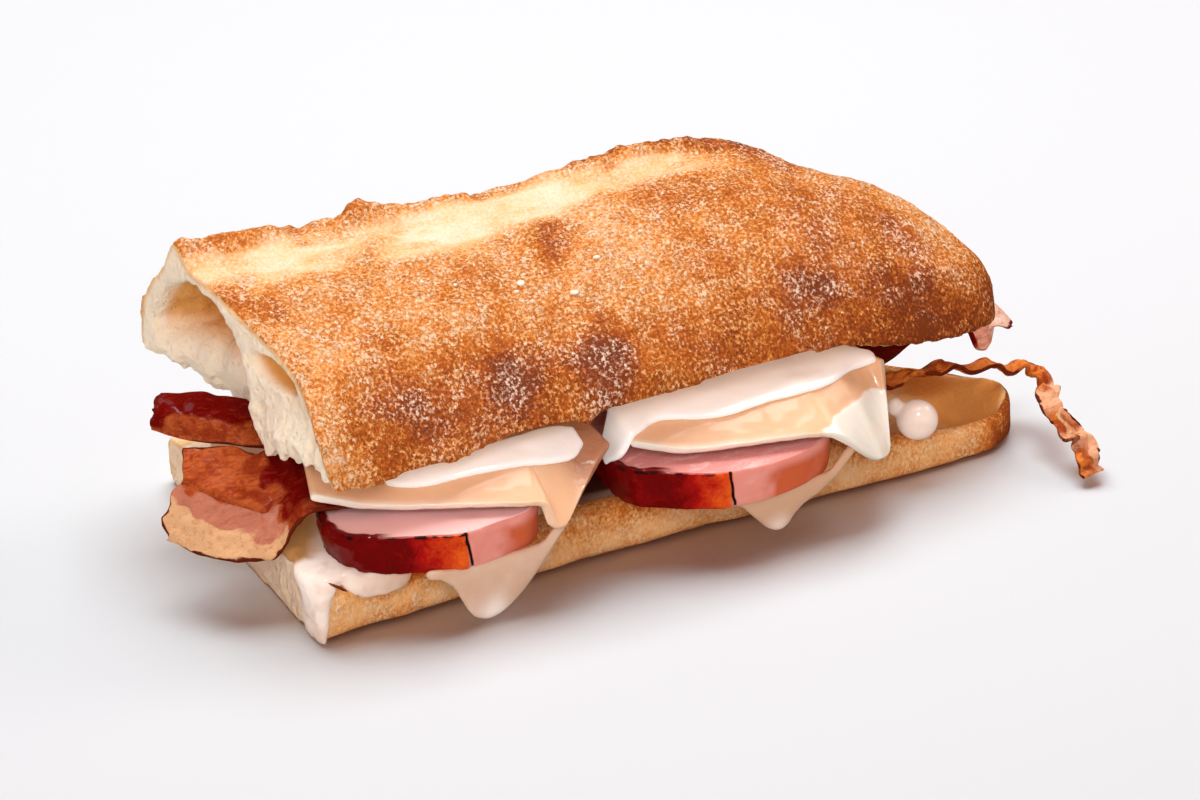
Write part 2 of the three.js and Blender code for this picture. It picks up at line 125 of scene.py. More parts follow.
@dataclass(frozen=True)
class Grain:
    """Smooth noise from -1 to 1, the same at every run.

    Attributes:
        size: how wide one lump is, in mm.
        seed: which noise it is.
        octaves: how many layers there are, each finer than the last.
        stretch: how much longer lumps are along each axis.
    """

    size: float
    seed: int
    octaves: int = 1
    stretch: Triple = (1.0, 1.0, 1.0)

    @staticmethod
    def _toss(cell: Array, seed: int) -> Array:
        """A number from 0 to 1 for each whole-number cell.

        Args:
            cell: three whole numbers for each cell.
            seed: which noise it is.

        Returns:
            One number for each cell.
        """
        code = (cell * CELL_PRIMES).sum(axis=-1) + seed * SEED_PRIME
        code = ((code & WORD) ^ ((code & WORD) >> 13)) * 1274126177 & WORD
        code = (code ^ (code >> 16)) * 2246822519 & WORD
        return ((code ^ (code >> 15)) & 0xFFFFF) / 0xFFFFF

    def at(self, points: Array) -> Array:
        """The noise at each point.

        Args:
            points: places in mm, one row each.

        Returns:
            One number for each place.
        """
        total, reach = np.zeros(len(points)), 0.0
        scaled = points / (np.array(self.stretch) * self.size)
        for octave in range(self.octaves):
            place = scaled * 2**octave + OCTAVE_SHIFT * octave
            cell = np.floor(place).astype(np.int64)
            part = place - cell
            part = part * part * part * (part * (part * 6 - 15) + 10)
            layer = np.zeros(len(points))
            for corner in np.ndindex(2, 2, 2):
                step = np.array(corner)
                weight = np.prod(np.where(step == 1, part, 1 - part), axis=1)
                layer += weight * self._toss(cell + step, self.seed + octave)
            total += (2 * layer - 1) * 0.5**octave
            reach += 0.5**octave
        return total / reach * NOISE_GAIN

    def cells(self, points: Array) -> Array:
        """How far each point is from the middle of its nearest cell, in cell widths.

        Args:
            points: places in loaf mm.

        Returns:
            One distance for each place.
        """
        scaled = points / (np.array(self.stretch) * self.size)
        base = np.floor(scaled).astype(np.int64)
        best = np.full(len(points), 9.0)
        for corner in np.ndindex(3, 3, 3):
            cell = base + np.array(corner) - 1
            heart = np.stack([self._toss(cell, self.seed + 31 * k) for k in range(3)], axis=1)
            best = np.minimum(best, ((cell + heart - scaled) ** 2).sum(axis=1))
        return np.sqrt(best)


class Profile:
    """A value that runs smoothly through (x, value) pairs and stays level beyond both ends.

    It is never changed once made, so a class may hold one as a default.
    """

    def __init__(self, pairs: Plan) -> None:
        """Takes the pairs in order of x.

        Args:
            pairs: the x and the value of each point.
        """
        self.x, self.y = np.array(pairs, float).T
        inner = (self.y[2:] - self.y[:-2]) / (self.x[2:] - self.x[:-2])
        first = (self.y[1] - self.y[0]) / (self.x[1] - self.x[0])
        last = (self.y[-1] - self.y[-2]) / (self.x[-1] - self.x[-2])
        self.slope = np.concatenate([[first], inner, [last]])

    def __call__(self, x: Array) -> Array:
        """The value at each x.

        Args:
            x: one place or many.

        Returns:
            A value for each.
        """
        x = np.clip(np.asarray(x, float), self.x[0], self.x[-1])
        k = np.clip(np.searchsorted(self.x, x, side="right") - 1, 0, len(self.x) - 2)
        width = self.x[k + 1] - self.x[k]
        t = (x - self.x[k]) / width
        rise = t * t * (3 - 2 * t)
        leave = t * (1 - t) ** 2 * width * self.slope[k]
        arrive = t * t * (t - 1) * width * self.slope[k + 1]
        return self.y[k] + (self.y[k + 1] - self.y[k]) * rise + leave + arrive


class Line:
    """A smooth line in space through a few points, carried straight on past open ends."""

    def __init__(self, points: Sequence[Sequence[float]], closed: bool = False) -> None:
        """Takes the points in order; two numbers mean a point at z 0.

        Args:
            points: what it runs through.
            closed: whether it comes back to its start.
        """
        rows = np.array([(*point, 0.0)[:3] for point in points], float)
        if closed:
            self.points = np.concatenate([rows[-1:], rows, rows[:2]])
        else:
            self.points = np.concatenate([[2 * rows[0] - rows[1]], rows, [2 * rows[-1] - rows[-2]]])
        self.closed = closed
        self.count = len(rows) if closed else len(rows) - 1

    def at(self, share: Array) -> Array:
        """The point that share of the way along the line.

        Args:
            share: how far along; below 0 or above 1 is past an open end.

        Returns:
            One place for each.
        """
        if self.closed:
            return self._inside(np.mod(share, 1.0))
        inside = np.clip(share, 0.0, 1.0)
        over = (np.asarray(share) - inside)[:, None]
        step = 1e-3
        tangent = self._inside(np.minimum(inside + step, 1)) - self._inside(np.maximum(inside - step, 0))
        tangent /= np.minimum(inside + step, 1)[:, None] - np.maximum(inside - step, 0)[:, None]
        return self._inside(inside) + tangent * over

    def _inside(self, share: Array) -> Array:
        """The point for shares from 0 to 1.

        Args:
            share: how far along, from 0 to 1.

        Returns:
            One place for each.
        """
        k = np.clip(np.floor(share * self.count).astype(int), 0, self.count - 1)
        t = (share * self.count - k)[:, None]
        p0, p1, p2, p3 = (self.points[k + n] for n in range(4))
        gap0, gap1, gap2 = (
            np.maximum(np.linalg.norm(b - a, axis=1, keepdims=True) ** 0.5, 1e-4)
            for a, b in ((p0, p1), (p1, p2), (p2, p3))
        )
        leave = ((p1 - p0) / gap0 - (p2 - p0) / (gap0 + gap1) + (p2 - p1) / gap1) * gap1
        arrive = ((p2 - p1) / gap1 - (p3 - p1) / (gap1 + gap2) + (p3 - p2) / gap2) * gap1
        return (
            p1
            + leave * t
            + (-3 * p1 + 3 * p2 - 2 * leave - arrive) * t**2
            + (2 * p1 - 2 * p2 + leave + arrive) * t**3
        )


# ---- The bench: hand tools on meshes ----


class Bench:
    """The hand tools. Each adds or shapes one mesh; sizes and places are in loaf mm."""

    def __init__(self) -> None:
        """Finds the loaf's own corner in the shared frame."""
        low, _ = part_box("bread_bottom")
        self.origin = np.array([low.x / MM + LOWER_SKEW * LOAF_WIDTH, low.y / MM - FRONT, low.z / MM])

    def to_frame(self, points: Array) -> Array:
        """Places in the shared frame, in metres, for places in loaf mm."""
        return (np.asarray(points, float) + self.origin) * MM

    @staticmethod
    def take(*pieces: Piece) -> None:
        """Selects these pieces alone, the last one active.

        Args:
            *pieces: what is selected.
        """
        bpy.ops.object.select_all(action="DESELECT")
        for piece in pieces:
            piece.select_set(True)
            bpy.context.view_layer.objects.active = piece

    @staticmethod
    def edit(piece: Piece, *steps: Callable[[], object]) -> None:
        """Runs edit mode steps on everything in a piece.

        Args:
            piece: the piece.
            *steps: what is done, in order.
        """
        Bench.take(piece)
        bpy.ops.object.mode_set(mode="EDIT")
        bpy.ops.mesh.select_all(action="SELECT")
        for step in steps:
            step()
        bpy.ops.object.mode_set(mode="OBJECT")

    @staticmethod
    def modify(piece: Piece, kind: str, **settings: object) -> None:
        """Adds one modifier to a piece and applies it.

        Args:
            piece: the piece.
            kind: the modifier's type.
            **settings: the modifier's own settings.
        """
        Bench.take(piece)
        modifier = piece.modifiers.new(kind.lower(), kind)
        for name, value in settings.items():
            setattr(modifier, name, value)
        bpy.ops.object.modifier_apply(modifier=modifier.name)

    @staticmethod
    def raw(piece: Piece) -> Array:
        """A mesh's own coordinates.

        Args:
            piece: the piece.

        Returns:
            One row for each vertex.
        """
        flat = np.empty(len(piece.data.vertices) * 3)
        piece.data.vertices.foreach_get("co", flat)
        return flat.reshape(-1, 3)

    def read(self, piece: Piece) -> Array:
        """A piece's vertices in loaf mm."""
        return self.raw(piece) / MM - self.origin

    def write(self, piece: Piece, points: Array) -> None:
        """Puts a piece's vertices at these places in loaf mm."""
        piece.data.vertices.foreach_set("co", self.to_frame(points).ravel())
        piece.data.update()

    @staticmethod
    def normals(piece: Piece) -> Array:
        """The outward direction at each vertex.

        Args:
            piece: the piece.

        Returns:
            One row for each vertex.
        """
        flat = np.empty(len(piece.data.vertices) * 3)
        piece.data.vertices.foreach_get("normal", flat)
        return flat.reshape(-1, 3)

    @staticmethod
    def mark(piece: Piece, **masks: Array | float) -> None:
        """Keeps numbers on the vertices, for the materials to read; one number marks them all.

        Args:
            piece: the piece.
            **masks: the numbers under each name, one for each vertex or one for all.
        """
        count = len(piece.data.vertices)
        for name, values in masks.items():
            layer = piece.data.attributes.new(name, "FLOAT", "POINT")
            layer.data.foreach_set("value", np.full(count, values, np.float32))

    @staticmethod
    def _add(name: str, adder: Callable[..., object], **settings: object) -> Piece:
        """Adds one primitive with nothing else selected.

        Args:
            name: its name.
            adder: the operator that adds it.
            **settings: what the operator is told.

        Returns:
            The piece.
        """
        bpy.ops.object.select_all(action="DESELECT")
        adder(**settings)
        piece = bpy.context.object
        piece.name = piece.data.name = name
        return piece

    def grid(self, name: str, columns: int, rows: int) -> Piece:
        """A flat unit grid, ready to be moulded."""
        adder = bpy.ops.mesh.primitive_grid_add
        return self._add(name, adder, x_subdivisions=columns, y_subdivisions=rows, size=1)

    def slab(self, name: str, columns: int, rows: int) -> Piece:
        """A closed unit slab, one cell thick, with its top at z 0 and its base at z -1.

        Args:
            name: its name.
            columns: cells along it.
            rows: cells across it.

        Returns:
            The piece.
        """
        piece = self.grid(name, columns, rows)
        drop = {"value": (0, 0, -1)}
        self.edit(piece, lambda: bpy.ops.mesh.extrude_region_move(TRANSFORM_OT_translate=drop))
        self.outward(piece)
        return piece

    def ball(self, name: str, segments: int, rings: int) -> Piece:
        """A unit ball, ready to be moulded."""
        adder = bpy.ops.mesh.primitive_uv_sphere_add
        return self._add(name, adder, segments=segments, ring_count=rings, radius=1)

    def pebble(self, name: str, divisions: int) -> Piece:
        """A unit ball of even triangles, ready to be moulded."""
        return self._add(name, bpy.ops.mesh.primitive_ico_sphere_add, subdivisions=divisions, radius=1)

    def mould(self, piece: Piece, place: Callable[[Array], Array]) -> None:
        """Moves every vertex of a raw primitive to its place in loaf mm."""
        self.write(piece, place(self.raw(piece)))

    def tube(self, name: str, rings: int, sides: int, section: Surface) -> Piece:
        """A body skinned over closed rings, with both ends filled.

        Args:
            name: the piece's name.
            rings: how many steps there are along it.
            sides: how many steps there are around it.
            section: gives its surface for shares along and around.

        Returns:
            The closed piece.
        """
        piece = self.grid(name, rings, sides)
        self.mould(piece, lambda raw: section(raw[:, 0] + 0.5, np.mod(np.round(raw[:, 1] + 0.5, 6), 1.0)))
        self.edit(
            piece,
            lambda: bpy.ops.mesh.remove_doubles(threshold=1e-6),
            lambda: bpy.ops.mesh.select_all(action="DESELECT"),
            lambda: bpy.ops.mesh.select_non_manifold(extend=False),
            lambda: bpy.ops.mesh.fill_holes(sides=0),
        )
        self.outward(piece)
        return piece

    @staticmethod
    def outward(piece: Piece) -> None:
        """Turns every face of a closed piece outwards."""
        Bench.edit(piece, lambda: bpy.ops.mesh.normals_make_consistent(inside=False))

    def carve(self, piece: Piece, *cutters: Piece) -> None:
        """Cuts these bodies out of a piece and removes them.

        Args:
            piece: the piece.
            *cutters: the bodies that cut it.
        """
        for cutter in cutters:
            self.modify(piece, "BOOLEAN", operation="DIFFERENCE", solver="EXACT", object=cutter)
            bpy.data.objects.remove(cutter)

    def block(self, low: Triple, high: Triple, turn: float = 0.0) -> Piece:
        """A cutting block between two corners, turned about its low corner.

        Args:
            low: its low corner.
            high: its high corner.
            turn: radians about z.

        Returns:
            The piece.
        """
        piece = self._add("block", bpy.ops.mesh.primitive_cube_add, size=1)

        def place(raw: Array) -> Array:
            """Stretches the unit cube to size and turns it."""
            x, y, z = ((raw + 0.5) * (np.array(high) - np.array(low))).T
            c, s = math.cos(turn), math.sin(turn)
            return np.column_stack([c * x - s * y, s * x + c * y, z]) + np.array(low)

        self.mould(piece, place)
        return piece

    def skin(self, piece: Piece) -> BVHTree:
        """A piece's surface, for finding what lies below a point."""
        points = [tuple(point) for point in self.read(piece)]
        return BVHTree.FromPolygons(points, [tuple(polygon.vertices) for polygon in piece.data.polygons])

    def knead(self, piece: Piece, grain: float, smoothing: int = 0) -> None:
        """Gives a piece an even skin of faces of that size, smoothed that many times.

        Args:
            piece: the piece.
            grain: how wide a face is, in mm.
            smoothing: how many rounds of smoothing follow.
        """
        self.modify(piece, "REMESH", mode="VOXEL", voxel_size=grain * MM)
        if smoothing:
            self.modify(piece, "SMOOTH", factor=0.5, iterations=smoothing)

    def melt(self, pieces: Sequence[Piece], grain: float, smoothing: int) -> Piece:
        """Joins several bodies into one flowing body.

        Args:
            pieces: the bodies; the first one's name stays.
            grain: how wide a face is, in mm.
            smoothing: how many rounds of smoothing follow.

        Returns:
            The piece.
        """
        self.take(*reversed(pieces))
        bpy.ops.object.join()
        self.knead(pieces[0], grain, smoothing)
        return pieces[0]

    def soothe(self, piece: Piece, where: Array, rounds: int) -> Array:
        """Smooths the piece where it is marked, and reads its vertices again.

        Args:
            piece: the piece.
            where: how strongly to smooth at each vertex.
            rounds: how many times.

        Returns:
            Its vertices in loaf mm.
        """
        group = piece.vertex_groups.new(name="soothed")
        for index in np.nonzero(where > 0)[0]:
            group.add([int(index)], float(where[index]), "REPLACE")
        self.modify(piece, "SMOOTH", factor=0.5, iterations=rounds, vertex_group="soothed")
        return self.read(piece)

    def refine(self, piece: Piece, chosen: Array) -> None:
        """Subdivides the faces whose vertices are all chosen.

        Args:
            piece: the piece.
            chosen: whether each vertex is chosen.
        """
        self.take(piece)
        picked = [all(chosen[v] for v in polygon.vertices) for polygon in piece.data.polygons]
        self.edit(piece, lambda: bpy.ops.mesh.select_all(action="DESELECT"))
        piece.data.polygons.foreach_set("select", picked)
        bpy.ops.object.mode_set(mode="EDIT")
        bpy.ops.mesh.select_mode(type="FACE")
        bpy.ops.mesh.subdivide(number_cuts=1, smoothness=0)
        bpy.ops.mesh.select_mode(type="VERT")
        bpy.ops.object.mode_set(mode="OBJECT")

    def finish(self, piece: Piece, material: bpy.types.Material, node: str, slot: Slot) -> None:
        """Smooths a finished piece, dresses it and sets it on the model.

        Args:
            piece: the piece.
            material: its material.
            node: the CAD node that it replaces.
            slot: its material slot; not used.
        """
        self.take(piece)
        bpy.ops.object.shade_smooth()
        piece.data.materials.clear()
        piece.data.materials.append(material)
        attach(piece, "root")
        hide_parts(node)
        log.info("%s: %d faces", piece.name, len(piece.data.polygons))


BENCH = Bench()


# ---- Materials ----


class Value:
    """A number on its way through a material; arithmetic on it adds Math nodes."""

    def __init__(self, paint: "Paint", socket: bpy.types.NodeSocket) -> None:
        """Wraps one output socket."""
        self.paint, self.socket = paint, socket

    def _math(self, operation: str, first: object, second: object) -> "Value":
        """One Math node on two inputs."""
        return self.paint.node("Math", {"operation": operation}, {0: first, 1: second})

    def __add__(self, other: object) -> "Value":
        """This plus other."""
        return self._math("ADD", self, other)

    def __radd__(self, other: object) -> "Value":
        """Other plus this."""
        return self._math("ADD", other, self)

    def __sub__(self, other: object) -> "Value":
        """This less other."""
        return self._math("SUBTRACT", self, other)

    def __rsub__(self, other: object) -> "Value":
        """Other less this."""
        return self._math("SUBTRACT", other, self)

    def __mul__(self, other: object) -> "Value":
        """This times other."""
        return self._math("MULTIPLY", self, other)

    def __rmul__(self, other: object) -> "Value":
        """Other times this."""
        return self._math("MULTIPLY", other, self)

    def swing(self, size: float) -> "Value":
        """This about its middle value of a half, that many times as strong."""
        return (self - 0.5) * size

    def between(self, low: float, high: float) -> "Value":
        """0 at low, 1 at high, smooth and held beyond; low may be the larger.

        Args:
            low: where it is 0.
            high: where it is 1.

        Returns:
            The new number.
        """
        settings = {"interpolation_type": "SMOOTHSTEP"}
        if low < high:
            return self.paint.node("MapRange", settings, {0: self, 1: low, 2: high})
        return 1.0 - self.paint.node("MapRange", settings, {0: self, 1: high, 2: low})


Input = Value | float | Colour


class Paint:
    """Builds one material, node by node."""

    def __init__(self, name: str) -> None:
        """Starts an empty material that reads Object coordinates.

        Args:
            name: its name.
        """
        self.material = bpy.data.materials.new(name)
        self.material.use_nodes = True
        self.tree = self.material.node_tree
        self.tree.nodes.clear()
        self.place = self.node("TexCoord", {}, {}, "Object")

    def node(self, kind: str, settings: dict, inputs: dict, output: str | int = 0) -> Value:
        """Adds one node.

        Args:
            kind: the shader node's type, without those two words.
            settings: its own settings, made first.
            inputs: what each socket holds or is linked to.
            output: which output comes back.

        Returns:
            The chosen output.
        """
        node = self.tree.nodes.new(f"ShaderNode{kind}")
        for name, value in settings.items():
            setattr(node, name, value)
        for name, value in inputs.items():
            if isinstance(value, Value):
                self.tree.links.new(value.socket, node.inputs[name])
            else:
                held = node.inputs[name]
                held.default_value = (*value, 1.0) if held.type == "RGBA" else value
        return Value(self, node.outputs[output])

    def masks(self, *names: str) -> list[Value]:
        """Numbers kept on the vertices."""
        return [self.node("Attribute", {"attribute_name": name}, {}, "Fac") for name in names]

    def stretched(self, stretch: Triple, turn: float = 0.0) -> Value:
        """Object coordinates that make a pattern longer along each axis, turned about z."""
        scale = tuple(1 / s for s in stretch)
        return self.node("Mapping", {}, {0: self.place, 2: (0.0, 0.0, turn), 3: scale})

    def noise(self, size: float, detail: float = 3.0, rough: float = 0.55, at: Value | None = None,
              warp: float = 0.0) -> Value:
        """Soft noise whose lumps are that many mm wide.

        Args:
            size: how wide a lump is, in mm.
            detail: how many finer layers there are.
            rough: how strong those are.
            at: its coordinates; None is the object's own.
            warp: how far it is bent by itself.

        Returns:
            The new number.
        """
        return self.node("TexNoise", {}, {
            "Vector": at or self.place, "Scale": 1 / (size * MM), "Detail": detail,
            "Roughness": rough, "Distortion": warp,
        })

    def cells(self, size: float, at: Value | None = None) -> Value:
        """Distance to the middle of cells that many mm wide.

        Args:
            size: how wide one is, in mm.
            at: its coordinates; None is the object's own.

        Returns:
            The new number.
        """
        return self.node("TexVoronoi", {"feature": "F1"}, {
            "Vector": at or self.place, "Scale": 1 / (size * MM), "Randomness": 1.0,
        }, "Distance")

    def warped(self, size: float, amount: float, at: Value | None = None) -> Value:
        """Coordinates pushed about by up to that many mm, with soft noise that many mm wide.

        Args:
            size: how wide a lump is, in mm.
            amount: how far, in mm.
            at: its coordinates; None is the object's own.

        Returns:
            The pushed coordinates.
        """
        push = self.node("TexNoise", {}, {
            "Vector": at or self.place, "Scale": 1 / (size * MM), "Detail": 2.0}, "Color")
        return self.node("VectorMath", {"operation": "MULTIPLY_ADD"}, {
            0: push, 1: (amount * MM,) * 3, 2: at or self.place})

    def grains(self, size: float, at: Value | None = None) -> Value:
        """Scattered round grains that many mm apart, some bright and some missing.

        Args:
            size: how wide one is, in mm.
            at: its coordinates; None is the object's own.

        Returns:
            The new number.
        """
        spot = self.cells(size, at)
        chance = Value(self, spot.socket.node.outputs["Color"]) * 1.0
        return spot.between(0.52, 0.14) * chance.between(0.12, 0.66)

    def mix(self, share: Input, first: Input, second: Input) -> Value:
        """A colour that share of the way from first to second; 6, 7 and 2 are its colour sockets."""
        return self.node("Mix", {"data_type": "RGBA"}, {0: share, 6: first, 7: second}, 2)

    def ramp(self, share: Value, stops: Sequence[tuple[float, Colour]]) -> Value:
        """A colour picked along a ramp.

        Args:
            share: where on the ramp.
            stops: places and colours, in order.

        Returns:
            The colour.
        """
        found = self.node("ValToRGB", {}, {0: share})
        ramp = found.socket.node.color_ramp
        for k, (place, colour) in enumerate(stops):
            stop = ramp.elements[k] if k < 2 else ramp.elements.new(place)
            stop.position, stop.color = place, (*colour, 1.0)
        return found

    def bump(self, height: Value, depth: float) -> Value:
        """A normal from a height that stands depth mm from 0 to 1."""
        return self.node("Bump", {}, {"Height": height, "Distance": depth * MM, "Strength": 1.0})

    def shader(self, **inputs: object) -> Value:
        """A Principled shader; words joined with _ name its sockets."""
        titles = (name.replace("_", " ").title().replace("Ior", "IOR") for name in inputs)
        return self.node("BsdfPrincipled", {}, dict(zip(titles, inputs.values())))

    def done(self, shader: Value) -> bpy.types.Material:
        """Puts a shader on the surface and gives back the material.

        Args:
            shader: the shader.

        Returns:
            The material.
        """
        surface = self.tree.nodes.new("ShaderNodeOutputMaterial")
        self.tree.links.new(shader.socket, surface.inputs["Surface"])
        return self.material


@dataclass(frozen=True)
class CrustFinish:
    """Baked crust that turns to open crumb below its skin."""

    pale: Colour = (0.89, 0.70, 0.54)
    straw: Colour = (0.90, 0.57, 0.33)
    golden: Colour = (0.80, 0.350, 0.107)
    amber: Colour = (0.56, 0.154, 0.020)
    brown: Colour = (0.34, 0.068, 0.010)
    scorched: Colour = (0.19, 0.036, 0.007)
    flour: Colour = (0.96, 0.70, 0.53)
    toast: Colour = (0.96, 0.65, 0.48)
    crumb: Colour = (0.97, 0.83, 0.63)
    crumb_shade: Colour = (0.88, 0.64, 0.38)
    # hollow: the tan of painted shade in hollows, and partly the crumb's own tan at the lower bread's round
    # end
    hollow: Colour = (0.78, 0.38, 0.10)
    skin: Colour = (0.78, 0.48, 0.20)

    def material(self, name: str, blister: float = 1.0) -> bpy.types.Material:
        """The bread material.

        Args:
            name: its name.
            blister: how strong its fine specks are.

        Returns:
            The material.
        """
        paint = Paint(name)
        bake, flour, depth, pore, warm = paint.masks("bake", "flour", "depth", "pore", "warm")
        upright = paint.stretched((1.0, 1.0, 1.35))
        bent = paint.warped(0.8, 1.3, upright)
        patch = paint.noise(7.0, 4.0, 0.6)
        fine = paint.noise(0.8, 4.0, 0.7, upright)
        net = paint.noise(0.9, 4.0, 0.65, upright).between(0.44, 0.60)
        grain = paint.grains(1.0, bent) * 0.8 + paint.grains(0.6, bent) * 0.6
        gather = paint.noise(5.0, 3.0, 0.6, paint.stretched((1.0, 1.0, 1.8))).between(0.34, 0.64)
        calm = 0.34 + bake.between(0.08, 0.34) * 0.66
        speckle = (net * 0.58 + grain * 0.74) * (0.42 + gather * 0.58) * calm
        tone = bake + patch.swing(0.36) + fine.swing(0.46 + 0.52 * blister) * calm
        tone = tone - (speckle - 0.34) * 0.64 * blister
        skin = paint.ramp(tone, (
            (0.0, self.pale), (1.0, self.scorched), (0.2, self.straw), (0.42, self.golden),
            (0.6, self.amber), (0.8, self.brown),
        ))
        dust = flour * (speckle * 1.32 + fine.swing(1.5))
        powder = paint.mix(bake.between(0.45, 0.75), self.toast, self.flour)
        skin = paint.mix(dust.between(0.12, 0.82), skin, powder)
        crust_height = speckle * 0.8 + fine * 0.5 + patch * 0.3
        crust = paint.shader(
            base_color=skin, roughness=0.5, specular_ior_level=0.06,
            normal=paint.bump(crust_height, 0.42 * blister + 0.06),
        )
        holes = paint.cells(1.5, paint.stretched((1.0, 1.0, 1.5))).between(0.42, 0.12) * (1.0 - warm * 0.9)
        grit = paint.noise(0.8, 4.0, 0.65, paint.stretched((1.0, 1.0, 1.6)))
        web = paint.noise(3.0, 5.0, 0.68)
        shade = (pore * 0.6 + holes * 0.14 + web.swing(0.4) + grit.swing(0.4)).between(0.0, 1.2)
        crumb_colour = paint.mix(shade, self.crumb, self.crumb_shade)
        # Painted shade: the warm mark turns the crumb towards the hollow colour deep in hollows, in the scoop
        # and in the lower bread's bowl; at that bowl's tip it is partly the crumb's own tan.
        tan_and_shade = (warm + web.swing(0.3) * warm).between(0.0, 1.0)
        crumb_colour = paint.mix(tan_and_shade, crumb_colour, self.hollow)
        crumb_colour = paint.mix(depth.between(2.6, 0.7), crumb_colour, self.skin)
        crumb = paint.shader(
            base_color=crumb_colour, roughness=0.9, specular_ior_level=0.1,
            subsurface_weight=0.3, subsurface_radius=(1.0, 0.62, 0.35), subsurface_scale=0.004,
            normal=paint.bump(grit * 0.6 + web * 0.9 - holes * 0.4, 0.75),
        )
        share = (depth + fine.swing(0.5)).between(0.45, 1.05)
        return paint.done(paint.node("MixShader", {}, {0: share, 1: crust, 2: crumb}))


@dataclass(frozen=True)
class HamFinish:
    """Cooked ham: marbled flesh with a glazed rind."""

    flesh: Colour = (0.86, 0.40, 0.35)
    lean: Colour = (0.95, 0.53, 0.50)
    fat: Colour = (0.90, 0.56, 0.50)
    deep: Colour = (0.74, 0.22, 0.15)
    stain: Colour = (0.60, 0.12, 0.045)
    maroon: Colour = (0.15, 0.003, 0.003)
    red: Colour = (0.40, 0.007, 0.005)
    ember: Colour = (0.62, 0.05, 0.008)
    glaze: Colour = (0.88, 0.17, 0.018)
    char: Colour = (0.018, 0.006, 0.005)

    def material(self, name: str) -> bpy.types.Material:
        """The ham material, from the masks that the slice carries.

        Args:
            name: its name.

        Returns:
            The material.
        """
        paint = Paint(name)
        rind, gloss, char, stain, side = paint.masks("rind", "glow", "char", "stain", "side")
        streaks = paint.noise(3.0, 4.0, 0.6, paint.stretched((3.2, 1.0, 1.0)), 0.6)
        cloud = paint.noise(7.0, 3.0, 0.5)
        fine = paint.noise(0.6, 3.0, 0.6)
        lean = paint.mix(side, self.lean, self.flesh)
        flesh = paint.mix((streaks + fine.swing(0.3)).between(0.46, 0.72) * 0.7, lean, self.fat)
        flesh = paint.mix((side * 0.65 + cloud.swing(0.9)).between(0.12, 0.85) * 0.75, flesh, self.deep)
        flesh = paint.mix(stain * (cloud * 0.7 + 0.65), flesh, self.stain)
        crackle = paint.noise(2.2, 4.0, 0.65, None, 0.8)
        rind_colour = paint.ramp(gloss + crackle.swing(0.55), (
            (0.12, self.maroon), (0.88, self.glaze), (0.40, self.red), (0.60, self.ember),
        ))
        colour = paint.mix(rind, flesh, rind_colour)
        colour = paint.mix((char + fine.swing(0.4) * char).between(0.25, 0.7), colour, self.char)
        shader = paint.shader(
            base_color=colour, roughness=0.45, specular_ior_level=0.0,
            subsurface_weight=0.12, subsurface_radius=(1.0, 0.35, 0.25), subsurface_scale=0.003,
            coat_weight=0.22 + rind * 0.18, coat_roughness=0.10,
            normal=paint.bump(fine * 0.3 + streaks * 0.3 + crackle * rind * 1.2, 0.22),
        )
        return paint.done(shader)


@dataclass(frozen=True)
class CheeseFinish:
    """Melted cheese: waxy, slightly clear and wet."""

    body: Colour = (0.86, 0.505, 0.29)
    # thin: the pale colour of thin cheese, partly a painted highlight on the lips and the folded corner
    thin: Colour = (0.99, 0.88, 0.74)
    wet: Colour = (0.52, 0.24, 0.13)

    def material(self, name: str) -> bpy.types.Material:
        """The cheese material.

        Args:
            name: its name.

        Returns:
            The material.
        """
        paint = Paint(name)
        pale, wet = paint.masks("pale", "wet")
        cloud = paint.noise(9.0, 3.0, 0.5)
        fine = paint.noise(1.6, 3.0, 0.5)
        colour = paint.mix((pale + cloud.swing(0.2)).between(0.06, 0.9), self.body, self.thin)
        colour = paint.mix(wet, colour, self.wet)
        shader = paint.shader(
            base_color=colour, roughness=0.32, specular_ior_level=0.3,
            subsurface_weight=0.35, subsurface_radius=(1.0, 0.62, 0.32), subsurface_scale=0.004,
            coat_weight=0.30 + wet * 0.7 + pale * 0.6, coat_roughness=0.07,
            normal=paint.bump(cloud * 0.5 + fine * (0.10 + wet * 1.6), 0.28),
        )
        return paint.done(shader)


@dataclass(frozen=True)
class SauceFinish:
    """Cream sauce: thick and glossy, or thin enough to let warm colour through."""

    cream: Colour = (1.0, 0.94, 0.87)
    thin: Colour = (0.55, 0.33, 0.20)
    brown: Colour = (0.46, 0.22, 0.07)
    # dark: the near black of a painted shadow
    dark: Colour = (0.035, 0.008, 0.005)

    def material(self, name: str) -> bpy.types.Material:
        """The sauce material; the mask thin turns it to a thin film, and the mask dark paints it near black
        as painted shadow.

        Args:
            name: its name.

        Returns:
            The material.
        """
        paint = Paint(name)
        thin, matt, stain, dark = paint.masks("thin", "matt", "stain", "dark")
        cloud = paint.noise(6.0, 3.0, 0.5)
        fine = paint.noise(1.2, 2.0, 0.5)
        colour = paint.mix((thin + cloud.swing(0.35) * thin).between(0.0, 1.0), self.cream, self.thin)
        colour = paint.mix(stain, colour, self.brown)
        # Painted shadow: the mask dark paints the sauce near black in the gap between the hams.
        colour = paint.mix(dark, colour, self.dark)
        # Painted light: the sauce glows a little in its own colour, which brightens it where it lies in
        # shade.
        shader = paint.shader(
            base_color=colour, roughness=0.28 + matt * 0.4, specular_ior_level=0.2,
            subsurface_weight=0.35, subsurface_radius=(1.0, 0.75, 0.5), subsurface_scale=0.004,
            coat_weight=0.9 - matt * 0.7, coat_roughness=0.08, emission_color=colour, emission_strength=0.2,
            normal=paint.bump(cloud * 0.7 + fine * 0.1, 0.25),
        )
        return paint.done(shader)


